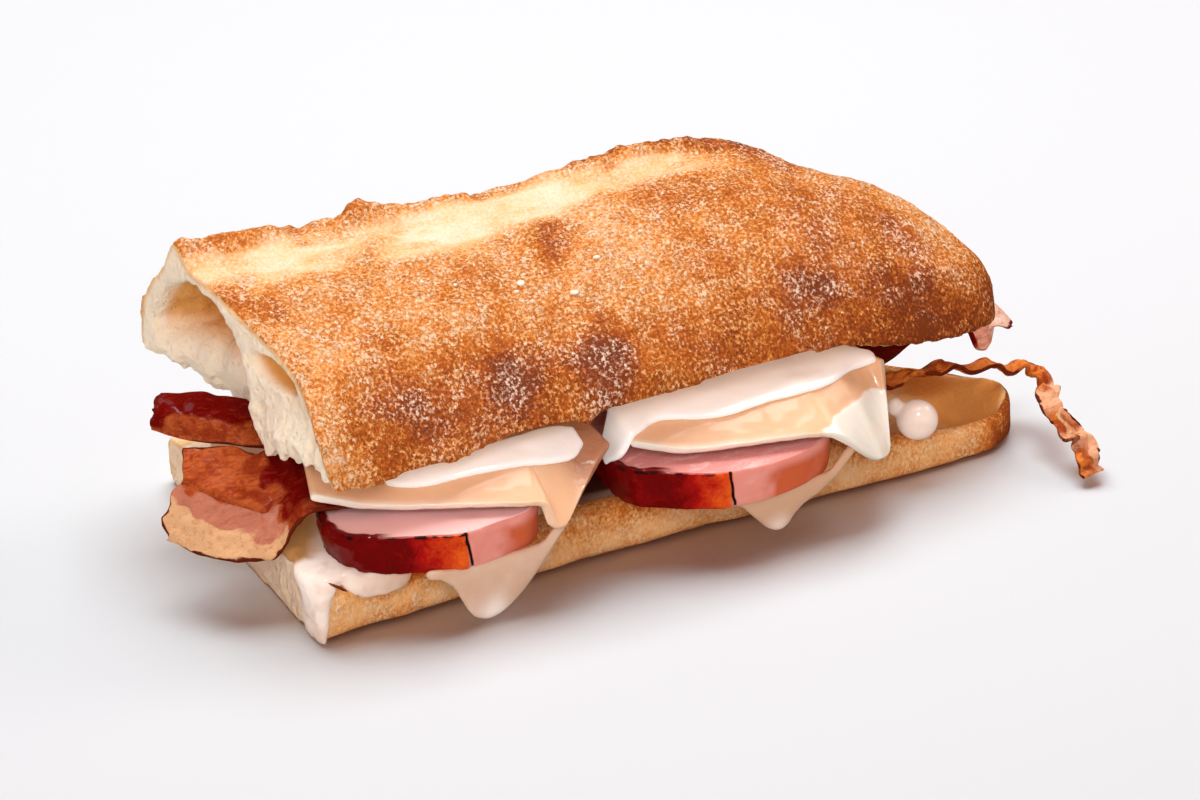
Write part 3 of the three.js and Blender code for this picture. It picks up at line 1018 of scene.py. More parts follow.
@dataclass(frozen=True)
class BaconFinish:
    """Fried bacon: crisp meat, rosy lean, tan fat and burnt edges."""

    crisp: Colour = (0.38, 0.057, 0.012)
    deep: Colour = (0.17, 0.003, 0.002)
    rosy: Colour = (0.56, 0.20, 0.12)
    fat: Colour = (0.76, 0.43, 0.215)
    char: Colour = (0.13, 0.016, 0.006)
    crisp_fibre: Colour = (0.58, 0.13, 0.035)
    crisp_shade: Colour = (0.26, 0.022, 0.006)
    fat_fibre: Colour = (0.60, 0.24, 0.08)
    rosy_fibre: Colour = (0.42, 0.07, 0.03)
    deep_fibre: Colour = (0.44, 0.03, 0.012)

    def material(self, name: str) -> bpy.types.Material:
        """The bacon material, from the masks that the rasher carries.

        Args:
            name: its name.

        Returns:
            The material.
        """
        paint = Paint(name)
        deep, rosy, fat, char = paint.masks("deep", "rosy", "fat", "char")
        fibre = paint.noise(1.1, 5.0, 0.7, paint.stretched((3.0, 1.0, 1.0), 0.35), 0.5)
        fine = paint.noise(0.6, 4.0, 0.7)
        cloud = paint.noise(4.0, 4.0, 0.6, None, 0.6)
        wobble = fine.swing(0.9) + cloud.swing(1.5)
        colour = paint.mix(fibre.between(0.36, 0.62) * 0.8, self.crisp, self.crisp_fibre)
        colour = paint.mix(cloud.between(0.54, 0.38) * 0.75, colour, self.crisp_shade)
        colour = paint.mix((rosy + wobble * rosy).between(0.25, 0.7), colour, self.rosy)
        colour = paint.mix((fat + wobble * fat).between(0.3, 0.65), colour, self.fat)
        fleck = paint.noise(1.5, 4.0, 0.65)
        colour = paint.mix(fat * fleck.between(0.50, 0.64) * 0.55, colour, self.fat_fibre)
        colour = paint.mix(rosy * (1.0 - fat) * fibre.between(0.48, 0.64) * 0.45, colour, self.rosy_fibre)
        colour = paint.mix((deep + wobble * deep).between(0.2, 0.8), colour, self.deep)
        colour = paint.mix(deep * fibre.between(0.50, 0.66) * 0.5, colour, self.deep_fibre)
        pits = paint.cells(2.4).between(0.22, 0.10) * paint.noise(5.0).between(0.5, 0.6)
        colour = paint.mix((char + wobble * char + pits * 0.4).between(0.3, 0.7), colour, self.char)
        shader = paint.shader(
            base_color=colour, roughness=0.5, specular_ior_level=0.0,
            subsurface_weight=0.08, subsurface_radius=(1.0, 0.35, 0.2), subsurface_scale=0.002,
            coat_weight=0.05 + deep * 0.07, coat_roughness=0.2,
            normal=paint.bump(fibre * 0.9 + fine * 0.6 + cloud * 0.7, 0.5),
        )
        return paint.done(shader)


# ---- Breads ----


@dataclass
class Bread:
    """What both halves of the loaf share: a plan, a slanting cut and a baked skin.

    Attributes:
        cut_x: where the cut face meets the front of the loaf.
        cut_skew: how far the cut face slants for each mm towards the back.
        tip_x: where the round end stops, and round_from where it begins.
        front: the plan's front edge along the loaf, as back is its back edge.
        grain: how wide the faces of its skin are, in mm.
    """

    cut_x: float
    cut_skew: float
    tip_x: float
    round_from: float
    front: Profile
    back: Profile
    grain: float = 0.9

    def station(self, along: Array) -> Array:
        """Places along the loaf, closer together towards its round end."""
        return lerp(START_X, self.tip_x - 0.25, lerp(along, np.sin(along * math.pi / 2), 0.45))

    def span(self, x: Array) -> tuple[Array, Array, Array]:
        """How full the plan is at x, and where its front and back are.

        Args:
            x: places along the loaf.

        Returns:
            The share that is full, and the y of the front and of the back.
        """
        into = np.maximum(x - self.round_from, 0) / (self.tip_x - self.round_from)
        full = np.sqrt(np.maximum(1 - into * into, 0))
        return full, lerp(TIP_Y, self.front(x), full), lerp(TIP_Y, self.back(x), full)

    def cut_block(self) -> Piece:
        """A block that takes away all to the left of the cut face.

        Returns:
            The piece.
        """
        wide, lean = 100, math.atan(self.cut_skew)
        c, s = math.cos(lean), math.sin(lean)
        low = (self.cut_x - wide * c + wide * s, FRONT - wide * s - wide * c, -wide / 2)
        return BENCH.block(low, (low[0] + wide, low[1] + 3 * wide, 1.5 * wide), lean)

    def beyond_cut(self, points: Array) -> Array:
        """How far each point is from the cut face, in mm into the loaf."""
        return points[:, 0] + self.cut_skew * (points[:, 1] - FRONT) - self.cut_x

    @staticmethod
    def depth_below(skin: BVHTree, points: Array) -> Array:
        """How far each point is from the baked skin, in mm."""
        found = [skin.find_nearest(Vector(point))[3] for point in points]
        return np.array(found)

    @staticmethod
    def skin_of(piece: Piece, baked: Callable[[Array], Array]) -> BVHTree:
        """The baked part of a whole loaf's surface.

        Args:
            piece: the piece.
            baked: tells which points are baked.

        Returns:
            Its surface.
        """
        points = BENCH.read(piece)
        chosen = baked(points)
        faces = [tuple(p.vertices) for p in piece.data.polygons if all(chosen[v] for v in p.vertices)]
        return BVHTree.FromPolygons([tuple(p) for p in points], faces)

    @staticmethod
    def crumble(points: Array, normals: Array, depth: Array) -> tuple[Array, Array]:
        """Opens cells and tears in the crumb.

        Args:
            points: the vertices, in mm.
            normals: their outward directions.
            depth: how far below the skin they are.

        Returns:
            The moved points, and how deep in a cell each one is.
        """
        inside = ease(0.7, 2.2, depth)
        coarse = ease(0.62, 0.15, Grain(5.2, 3, 1, (1.0, 1.0, 1.5)).cells(points))
        small = ease(0.60, 0.18, Grain(2.3, 5, 1, (1.0, 1.0, 1.3)).cells(points))
        keep = ease(-0.15, 0.5, Grain(9.0, 8, 2).at(points))
        fluff = Grain(3.4, 12, 3).at(points)
        sink = inside * (0.6 * coarse * (0.2 + keep) + 0.22 * small - 0.42 * fluff)
        pore = inside * unit(0.6 * coarse * (0.2 + keep) + 0.35 * small - 0.1)
        return points - normals * sink[:, None], pore


@dataclass
class LowerBread(Bread):
    """The lower half: a flat-based trough of crust with a shallow crumb floor.

    Attributes:
        rim: the height of its rim along the loaf, as floor is that of the trough.
        rosy_spots: darker spots of its side, each a middle and a width along x and along z.
        below_table: how far its round base reaches below the table before it is cut flat.
        squareness: how square its section is; smaller is squarer.
    """

    cut_x: float = 0.0
    cut_skew: float = LOWER_SKEW
    tip_x: float = 206.4
    round_from: float = 192.0
    front: Profile = Profile(
        [(0, FRONT), (85, FRONT + 3.2), (150, FRONT + 1.6), (190, FRONT + 2), (206, FRONT + 4)])
    back: Profile = Profile(
        [(0, 46), (50, 46), (110, 42), (150, 30), (175, 12), (190, -3), (206, -18)])
    rim: Profile = Profile(
        [(0, 16), (150, 15.6), (168, 13.4), (182, 11.2), (196, 11.6), (206, 12.4)])
    floor: Profile = Profile(
        [(0, 15.6), (138, 15.2), (152, 6.4), (164, 2.2), (190, 2.0), (206, 4.6)])
    rosy_spots: tuple = (((24, 16), (13, 5)), ((80, 22), (12, 5)), ((112, 9), (13, 4)))
    below_table: float = 1.9
    squareness: float = 0.36

    def section(self, along: Array, turn: Array) -> Array:
        """The whole loaf's surface before it is cut.

        Args:
            along: shares along it.
            turn: shares around it.

        Returns:
            One place for each.
        """
        x = self.station(along)
        full, front, back = self.span(x)
        across = power(np.cos(2 * math.pi * turn), self.squareness)
        upright = power(np.sin(2 * math.pi * turn), self.squareness)
        rim = self.rim(x)
        dish = (rim - self.floor(x)) * (1 - ease(0.66, 0.88, np.abs(across)))
        dish = dish * full * ease(204.5, 194, x)
        z = lerp(-self.below_table, rim, (upright + 1) / 2) - np.where(upright > 0, dish * upright, 0)
        return np.column_stack([x, (front + back) / 2 - across * (back - front) / 2, z])

    def is_crust(self, points: Array) -> Array:
        """Which points of the whole loaf are on its baked base and sides.

        Args:
            points: places in loaf mm.

        Returns:
            True for those that are.
        """
        x, y, z = points.T
        _, front, back = self.span(x)
        across = unit(np.abs(2 * (y - front) / np.maximum(back - front, 1) - 1))
        full = (1 - across ** (2 / self.squareness)) ** (self.squareness / 2)
        outer = lerp(-self.below_table, self.rim(x), (full + 1) / 2)
        side = (across > 0.93) | ((across > 0.8) & (z > outer - 0.8))
        return (z < 0.5) | (side & (z < self.rim(x) - 0.6))

    def build(self) -> Piece:
        """Bakes, cuts and tears the lower bread.

        Returns:
            The piece.
        """
        piece = BENCH.tube("bread_bottom_baked", 150, 140, self.section)
        skin = self.skin_of(piece, self.is_crust)
        all_below_table = BENCH.block((-60, -90, -30), (260, 90, 0))
        BENCH.carve(piece, self.cut_block(), all_below_table)
        BENCH.knead(piece, self.grain, 1)
        points = BENCH.read(piece)
        depth = self.depth_below(skin, points)
        BENCH.refine(piece, (depth > 0.5) & ((self.beyond_cut(points) < 3) | (points[:, 0] > 150)))
        points, normals = BENCH.read(piece), BENCH.normals(piece)
        depth = self.depth_below(skin, points)
        base = ease(0.9, 0.0, points[:, 2])
        depth = depth * (1 - base)
        end = ease(145, 165, points[:, 0])
        points, pore = self.crumble(points, normals * (1 - 0.92 * end)[:, None], depth)
        baked = ease(1.2, 0.3, depth) * (1 - base)
        lumps = 0.45 * Grain(13, 21, 2).at(points) + 0.22 * Grain(4.5, 22).at(points)
        tip = hill(points[:, 0], 206, 4) * hill(points[:, 1], -34, 7) * 0.9
        points = points + normals * (baked * (lumps + tip))[:, None]
        tucked = ease(1.7, 0.2, points[:, 2]) * ease(-28, -40, points[:, 1])
        points[:, 1] += 1.6 * tucked
        points[:, 2] = np.where(points[:, 2] < 0.4, points[:, 2] * 0.2 + 0.08 * base, points[:, 2])
        BENCH.write(piece, points)
        points = BENCH.soothe(piece, ease(146, 152, points[:, 0]) * ease(3, 6, points[:, 2]), 45)
        BENCH.mark(piece, depth=depth, pore=pore)
        self.brown(piece, points, base)
        return piece

    def brown(self, piece: Piece, points: Array, base: Array) -> None:
        """Browns and flours the crust and warms the crumb of the round end: a tan of its own there, with
        painted shade on the bowl's back wall and floor.

        Args:
            piece: the piece.
            points: its vertices.
            base: 1 underneath and 0 above.
        """
        x, y, z = points.T
        rosy = sum(hill(x, *along) * hill(z, *upright) for along, upright in self.rosy_spots)
        bake = (0.17 + 0.15 * ease(7, 13, z) + 0.20 * rosy + 0.10 * ease(140, 160, x)
                + 0.45 * ease(182, 203, x))
        bake += 0.12 * Grain(17, 31, 2).at(points) + 0.05 * Grain(4, 34).at(points)
        pale_corner = 0.35 * ease(12, 3, x) * ease(-10, 6, y)
        bake += 0.12 * ease(-40, 20, y) * ease(4, 14, x) + 0.10 * ease(6, 2, z) - pale_corner
        flour = 0.10 + 0.7 * ease(2.4, 0.8, z + 0.8 * Grain(3, 33).at(points)) + 0.5 * base
        # Painted shade: the bowl's back wall and floor are marked warmer and so painted darker; the rest of
        # the warm mark is the crumb's own tan towards the tip.
        wall_shade = ease(4.5, 9.5, z) * ease(-36, -24, y)
        bowl_tan_and_shade = unit(0.2 + 0.9 * wall_shade + 0.5 * ease(10, 6, z) + 0.7 * ease(186, 198, x))
        BENCH.mark(piece, bake=bake - 0.25 * base, flour=flour, warm=ease(146, 158, x) * bowl_tan_and_shade)


@dataclass
class UpperBread(Bread):
    """The upper half: a domed crust with a burst ridge behind its crown, torn at its cut end.

    Attributes:
        crown_y: where the crown runs along the loaf.
        crest: how far the burst ridge, its ear, rises and falls along the loaf.
        arch: how far its underside arches up.
        crust_share: how much of the section is crust; the rest is its underside.
        scoop: the torn scoop in its cut face: y, z, half width and half height.
        hollows: torn hollows, each a place, a radius along each axis and a tilt, as are the
            tatters, the crumb that hangs at its cut end.
        scorches: scorched spots, each a place, a radius and a strength.
        pits: pits in the crown, each a place, a radius and a depth.
        flap: a torn flap of crust at its front edge, a place and a radius.
    """

    cut_x: float = 5.3
    cut_skew: float = 0.177
    tip_x: float = 201.0
    round_from: float = 182.0
    front: Profile = Profile(
        [(0, FRONT), (160, FRONT + 0.5), (180, FRONT + 2.4), (201, FRONT + 7)])
    back: Profile = Profile(
        [(0, 41.5), (60, 43), (120, 40), (148, 30), (172, 14), (187, 2), (201, -12)])
    crown_y: Profile = Profile(
        [(0, 12), (120, 11), (150, 6), (172, -5), (187, -13), (201, -27)])
    front_edge: Profile = Profile(
        [(0, 40.8), (16, 39.3), (26, 40.9), (37, 40.4), (48, 42.9), (62, 43.8), (80, 44.5), (140, 44.8),
         (160, 40.6), (175, 38), (190, 36), (201, 33)])
    back_edge: Profile = Profile(
        [(0, 43.4), (40, 41.4), (120, 40.6), (160, 38), (187, 34), (201, 33)])
    crown: Profile = Profile([
        (0, 74.2), (30, 74.6), (67, 73.6), (100, 75), (122, 76.2), (142, 75.2), (156, 72.6), (170, 68.6),
        (182, 63.8), (193, 55.4), (201, 43.4)])
    crest: Profile = Profile([
        (-12, 2), (0, 1.7), (8, 0), (20, -1), (24, -2.4), (32, 0.3), (40, 2.9), (48, 2.5), (56, -0.3),
        (68, 1.7), (77, -1.4), (92, -2), (99, -3.4), (107, 0), (116, 1.5), (125, 1.8), (140, 1.3),
        (152, 1.8), (161, -1), (172, 0)])
    ear_back: float = 9.5
    ear_width: float = 5.0
    ear_height: Profile = Profile(
        [(0, 6), (30, 4.8), (67, 3), (100, 4.8), (124, 4.8), (142, 3.4), (158, 1.2), (190, 0)])
    arch: Profile = Profile([(0, 4.6), (60, 3), (150, 4), (182, 5.5), (201, 1)])
    crust_share: float = 0.68
    scoop: tuple[float, float, float, float] = (-17.5, 59.6, 9.0, 3.7)
    scoop_tilt: float = 0.22
    hollows: tuple = (((-14, 12.5, 46), (33, 24.0, 26), 0.22),)
    tatters: tuple = (
        ((-6, 37.5, 47.5), (7, 5, 4.6), 0.0), ((1, 33, 45), (8, 7, 5.6), 0.0),
        ((7.5, 26.5, 43.5), (9, 8.5, 9.4), 0.0), ((12.5, 16, 43.5), (9.5, 10, 12.6), 0.0),
        ((2, -17.5, 46), (8, 9.0, 8.6), 0.0), ((3.5, -30.5, 47.4), (8, 9.6, 6.4), 0.0))
    scorches: tuple = (
        ((55.1, -37.8, 53.8), 7.0, 0.36), ((79.2, -37.2, 54.8), 8.0, 0.40), ((82, -7.0, 71.5), 7.5, 0.30),
        ((26.5, -36.5, 55.2), 5.5, 0.16), ((7, -6.8, 71.7), 6.5, 0.19), ((141.2, -33.7, 59.1), 8.0, 0.34),
        ((168.5, -23, 63.1), 6.0, 0.18), ((27, -22, 65.7), 6.0, 0.12), ((171.4, -40.6, 46.6), 6.5, 0.20),
        ((114, -4, 73.9), 8.0, 0.14), ((116, -22.7, 66.8), 7.0, 0.10), ((162.8, -35.8, 54.1), 6.0, 0.20),
        ((34, -43, 48.5), 6.0, 0.14), ((58.2, -10.4, 70), 7.0, 0.12), ((75, -43, 48), 6.0, 0.10),
        ((136, 19, 77), 7.0, 0.24), ((147, 15, 75), 7.0, 0.24))
    pits: tuple = (
        ((49.7, 12.7, 74.4), 2.6, 1.5), ((47.4, 19.6, 76.5), 2.2, 0.8), ((110, 15, 76.7), 2.6, 1.2))
    flap: tuple[Triple, float] = ((70.8, -45.4, 45.0), 3.2)

    def section(self, along: Array, turn: Array) -> Array:
        """The whole loaf's surface before it is cut.

        Args:
            along: shares along it.
            turn: shares around it.

        Returns:
            One place for each.
        """
        x = self.station(along)
        full, front, back = self.span(x)
        crown_y = lerp(TIP_Y + 2, self.crown_y(x), full)
        inward = unit((turn - self.crust_share) / (1 - self.crust_share))
        arch = self.arch(x) * np.maximum(np.sin(math.pi * inward), 0) ** 1.15 * full
        under = np.column_stack([x, lerp(back, front, inward), self.foot(x, 1 - inward) + arch])
        angle = math.pi * unit(turn / self.crust_share)
        ahead = angle < math.pi / 2
        y = crown_y - np.where(ahead, crown_y - front, back - crown_y) * np.cos(angle)
        foot = self.foot(x, (1 - np.cos(angle)) / 2)
        rise = (self.crown(x) - foot) * np.maximum(np.sin(angle), 0) ** np.where(ahead, 1.56, 0.9)
        ear = self.ear_height(x) * (1 + 0.22 * np.sin(x / 7)) + self.crest(x)
        ear = ear * hill(y, crown_y + self.ear_back, self.ear_width)
        dome = np.column_stack([x, y, foot + rise + ear])
        return np.where((turn >= self.crust_share)[:, None], under, dome)

    def foot(self, x: Array, across: Array) -> Array:
        """The height of the crust's lower edge, from front to back."""
        return lerp(self.front_edge(x), self.back_edge(x), across)

    def lump(self, place: Triple, radius: Triple, tilt: float) -> Piece:
        """One rough rounded body: a torn hollow's shape, or crumb that hangs down.

        Args:
            place: its middle.
            radius: its half size along each axis.
            tilt: radians about x.

        Returns:
            The piece.
        """
        piece = BENCH.ball("lump", 48, 32)
        c, s = math.cos(tilt), math.sin(tilt)

        def shape(raw: Array) -> Array:
            """Roughens the ball, stretches it and tilts it about x."""
            rough = 1 + 0.05 * Grain(0.5, 41, 2).at(raw)
            x, y, z = (raw * rough[:, None] * np.array(radius)).T
            return np.column_stack([x, c * y - s * z, s * y + c * z]) + np.array(place)

        BENCH.mould(piece, shape)
        return piece

    def build(self) -> Piece:
        """Bakes, cuts and tears the upper bread.

        Returns:
            The piece.
        """
        piece = BENCH.tube("bread_top_baked", 150, 150, self.section)
        skin = self.skin_of(piece, self.is_crust)
        BENCH.carve(piece, *(self.lump(*hollow) for hollow in self.hollows))
        piece = BENCH.melt([piece, *(self.lump(*tatter) for tatter in self.tatters)], 0.9, 0)
        BENCH.carve(piece, self.cut_block())
        BENCH.knead(piece, self.grain, 1)
        points = BENCH.read(piece)
        depth = self.depth_below(skin, points)
        BENCH.refine(piece, (self.beyond_cut(points) < 26) & (depth > 0.4))
        points, normals = BENCH.read(piece), BENCH.normals(piece)
        depth = self.depth_below(skin, points)
        cut = ease(6, 1, self.beyond_cut(points)) * ease(0.6, 2.5, depth)
        tears = Grain(3.2, 51, 2, (3.0, 1.0, 5.0)).at(points)
        low = ease(62, 46, points[:, 2]) * ease(-8, -16, points[:, 1])
        points, pore = self.crumble(points, normals, depth)
        points = points - normals * (cut * low * (0.8 * tears + 0.2))[:, None]
        bent = 2.8 * hill(points[:, 1], -26, 11) * ease(7, 0, self.beyond_cut(points))
        bent *= ease(44, 52, points[:, 2])
        scoop = self.scooped(points)
        points[:, 0] += bent + 5.0 * scoop
        fringe = ease(50, 38, points[:, 2]) * ease(18, 6, self.beyond_cut(points)) * ease(0.6, 2.5, depth)
        points[:, 2] -= fringe * 1.3 * Grain(2.4, 55, 2).at(points)
        points = self.shape_crust(points, normals, ease(1.3, 0.3, depth))
        BENCH.write(piece, points)
        inward = self.beyond_cut(points)
        # Painted shade: the crumb deep in the torn hollow, under its ceiling and in the scoop is marked warm,
        # which paints it a darker tan.
        warm = ease(1.5, 6, inward) * ease(47, 60, points[:, 2] + 0.25 * inward) + 0.6 * ease(14, 24, inward)
        warm += 0.16 * scoop
        pore = unit(pore + 0.5 * cut * low * unit(tears))
        BENCH.mark(piece, depth=depth, pore=pore, warm=unit(warm))
        self.brown(piece, points)
        return piece

    def scooped(self, points: Array) -> Array:
        """How deep in the scoop of the cut face each point is, from 0 to 1.

        Args:
            points: places in loaf mm.

        Returns:
            One share for each.
        """
        y, z = points[:, 1] - self.scoop[0], points[:, 2] - self.scoop[1]
        c, s = math.cos(self.scoop_tilt), math.sin(self.scoop_tilt)
        reach = np.hypot((y * c + z * s) / self.scoop[2], (z * c - y * s) / self.scoop[3])
        return ease(1.1, 0.5, reach) * ease(6, 2, self.beyond_cut(points))

    def is_crust(self, points: Array) -> Array:
        """Which points of the whole loaf are on its domed skin.

        Args:
            points: places in loaf mm.

        Returns:
            True for those that are.
        """
        x, y, z = points.T
        _, front, back = self.span(x)
        across = unit((y - front) / np.maximum(back - front, 1))
        return z > self.foot(x, across) + self.arch(x) * np.sin(math.pi * across) ** 1.15 + 0.3

    def shape_crust(self, points: Array, normals: Array, baked: Array) -> Array:
        """Lumps, pits, blisters and the torn flap of the crust.

        Args:
            points: places in loaf mm.
            normals: their outward directions.
            baked: 1 on crust and 0 on crumb.

        Returns:
            The moved points.
        """
        x, y, z = points.T
        calm = ease(40, 50, z)
        lumps = 0.9 * Grain(24, 61, 2).at(points) + 0.35 * Grain(7, 62, 2).at(points)
        blisters = 0.22 * ease(0.5, 0.1, Grain(3.1, 63).cells(points))
        ear = hill(y, self.crown_y(x) + self.ear_back + 1, 5) * ease(150, 120, x)
        burst = ear * 1.3 * Grain(4.6, 64, 3).at(points)
        pits = sum(depth * near(points, place, radius) for place, radius, depth in self.pits)
        flap = near(points, *self.flap)
        moved = points + normals * (baked * (lumps * calm + blisters + burst - pits + 0.9 * flap))[:, None]
        moved[:, 2] -= 1.8 * flap
        return moved

    def brown(self, piece: Piece, points: Array) -> None:
        """Browns and flours the crust.

        Args:
            piece: the piece.
            points: its vertices.
        """
        x, y, z = points.T
        crown = self.crown_y(x)
        wander = 2.5 * Grain(20, 71).at(points)
        band = ease(-12, -5, y - crown + 1.3 * wander) * ease(8, 3, y - crown + 0.3 * wander)
        band *= ease(158, 118, x)
        mottle = 0.8 + 0.3 * Grain(14, 72, 1, (2.5, 1, 1)).at(points)
        band *= mottle + 0.5 * Grain(3.6, 77, 2, (2.4, 1, 1)).at(points)
        ridge = hill(y, crown + self.ear_back + 1.5, 3.6) * ease(150, 118, x)
        low = ease(68, 45, z) * ease(10, -10, y - crown) * ease(-2, 26, x + 0.3 * wander)
        far = ease(172, 186, x) * ease(38, 52, z)
        bake = 0.36 + 0.27 * low + 0.11 * ease(100, 135, x) - 0.16 * far - 0.08 * ease(178, 192, x) * low
        bake += 0.10 * Grain(19, 73, 2).at(points) + 0.03 * Grain(6, 74).at(points)
        bake += ridge * (0.14 + 0.20 * Grain(8, 75).at(points)) - 0.32 * unit(band)
        warped = points + 2.2 * np.column_stack([Grain(6, 76 + k).at(points) for k in range(3)])
        scorch = sum(strength * near(warped, place, radius) for place, radius, strength in self.scorches)
        flour = 0.24 + 0.30 * Grain(11, 79, 2).at(points) + 1.45 * scorch - 0.2 * unit(band)
        flour += 0.24 * ease(110, 150, x) * ease(46, 60, z) + 0.02 * low - 0.10 * far
        BENCH.mark(piece, bake=bake + 1.2 * scorch, flour=np.clip(flour, 0, 1.2))


# ---- Fillings ----


@dataclass
class Sheet:
    """A closed sheet of food about a middle surface.

    Attributes:
        surface: the middle surface, for shares along and across.
        lip: how far in from its edge it thins, in mm.
        crowd: how much the cells crowd towards the edges.
    """

    name: str
    surface: Surface
    thickness: float
    length: float
    width: float
    columns: int
    rows: int
    lip: float
    crowd: float = 0.6

    def spread(self, share: Array) -> Array:
        """Cells crowded towards both edges."""
        return lerp(share, (1 - np.cos(math.pi * share)) / 2, self.crowd)

    def build(self) -> tuple[Piece, Array, Array, Array]:
        """Makes the sheet.

        Returns:
            The piece, the shares along and across of each vertex, and 1 on its upper side.
        """
        piece = BENCH.slab(self.name, self.columns, self.rows)
        raw = BENCH.raw(piece)
        u, v, upper = self.spread(raw[:, 0] + 0.5), self.spread(raw[:, 1] + 0.5), raw[:, 2] > -0.5
        step = 2e-3
        along = self.surface(u + step, v) - self.surface(u - step, v)
        across = self.surface(u, v + step) - self.surface(u, v - step)
        normal = np.cross(along, across)
        normal /= np.maximum(np.linalg.norm(normal, axis=1, keepdims=True), 1e-9)
        from_end = np.minimum(u, 1 - u) * self.length + 1e-3
        from_side = np.minimum(v, 1 - v) * self.width + 1e-3
        inset = unit((from_end**-4 + from_side**-4) ** -0.25 / self.lip)
        half = self.thickness / 2 * np.sqrt(np.clip(1 - (1 - inset) ** 2, 0.004, 1))
        BENCH.write(piece, self.surface(u, v) + normal * (half * np.where(upper, 1, -1))[:, None])
        BENCH.outward(piece)
        return piece, u, v, upper.astype(float)


@dataclass
class HamSlice:
    """A thick slice of ham with a glazed rind along the front of its left part.

    Attributes:
        rind_end: where the rind stops along the front, in mm.
        edge: how far its edge is rounded, in mm.
    """

    node: str
    outline: Plan
    rind_end: float
    seed: int
    base: float = 16.6
    top: float = 26.7
    edge: float = 1.3

    def cut_out(self, line: Line, middle: float, half: float) -> Piece:
        """Cuts the plain slice with rounded edges, half its thickness either side of its middle.

        Args:
            line: its outline.
            middle: the height of its middle.
            half: half its thickness.

        Returns:
            The piece.
        """
        heart = np.array([*np.mean(self.outline, axis=0), 0.0])
        face = 0.3

        def section(along: Array, turn: Array) -> Array:
            """One face, the rounded edge and the other face, from heart to heart.

            Args:
                along: shares along it.
                turn: shares around it.

            Returns:
                One place for each.
            """
            rim = line.at(turn)
            outward = rim - heart
            outward /= np.linalg.norm(outward, axis=1, keepdims=True)
            cap = unit(along / face) * unit((1 - along) / face)
            angle = math.pi * (0.5 - unit((along - face) / (1 - 2 * face)))
            round_ = 1 - np.abs(np.cos(angle)) ** 0.35
            flat = lerp(heart, rim - outward * self.edge, np.sqrt(np.minimum(cap, 1))[:, None] * 0.999)
            side = rim - outward * (self.edge * round_)[:, None]
            place = np.where((np.abs(along - 0.5) <= 0.5 - face)[:, None], side, flat)
            place[:, 2] = middle + half * power(np.sin(angle), 0.45)
            return place

        piece = BENCH.tube(f"{self.node}_sliced", 130, 460, section)
        BENCH.outward(piece)
        return piece

    def build(self) -> Piece:
        """Makes the slice and marks its rind, glaze, char and stains.

        Returns:
            The piece.
        """
        line = Line(self.outline, closed=True)
        middle, half = (self.base + self.top) / 2, (self.top - self.base) / 2
        piece = self.cut_out(line, middle, half)
        points, normals = BENCH.read(piece), BENCH.normals(piece)
        x, y, z = points.T
        level = (z - middle) / half
        side = ease(0.45, 0.8, np.hypot(normals[:, 0], normals[:, 1]))
        fore = ease(-30, -38, y)
        wobble = 0.8 * Grain(2.5, self.seed).at(points)
        left = self.outline[0][0]
        ring = line.at(np.linspace(0, 1, 400))[:, :2]
        inset = np.array([np.hypot(*(ring - place).T).min() for place in points[:, :2]])
        behind = ease(left + 13, left + 8, x)
        fore = np.maximum(fore, behind * ease(-10, -22, y))
        band = behind * ease(2.2, 1.2, inset + 0.5 * wobble) * ease(-14, -24, y)
        rind = np.maximum(ease(1.02, 0.9, level) * ease(0.25, 0.6, side), band)
        rind = rind * fore * ease(self.rind_end + 0.5, self.rind_end - 0.5, x)
        share = (x - left) / (self.rind_end - left)
        glow = 0.10 + 0.62 * ease(0.38, 1.0, share + 0.05 * wobble)
        glow += 0.06 * Grain(4, self.seed + 1).at(points)
        lip = hill(level, 0.92, 0.07) * rind
        cut_mark = hill(x + 0.12 * (z - middle), self.rind_end + 0.25 + 0.3 * wobble, 0.42) * fore * side
        bits = ease(0.25, 0.6, Grain(2.2, self.seed + 2, 2).at(points))
        char = cut_mark + lip * (0.25 + 0.6 * bits)
        char += 0.35 * rind * ease(0.5, 0.9, Grain(3, self.seed + 4).at(points))
        stain = fore * side * ease(self.rind_end + 7, self.rind_end + 15, x + 2 * wobble)
        stain *= ease(0.9, 0.2, level)
        rough = 0.22 * Grain(2.2, self.seed + 5, 3).at(points)
        stand = rind * (0.45 + rough) - cut_mark * 0.5
        stand += 0.3 * (1 - rind) * Grain(7, self.seed + 6).at(points) * side
        moved = points + normals * stand[:, None]
        moved[:, 2] += (1 - side) * (0.18 * Grain(9, self.seed + 7, 2).at(points))
        lean = ease(left + 14, left + 2, x) * ease(0.6, -1.0, level) * 1.4
        moved[:, 0] += lean
        BENCH.write(piece, moved)
        BENCH.mark(piece, rind=rind, glow=glow, char=char, stain=stain, side=side)
        return piece


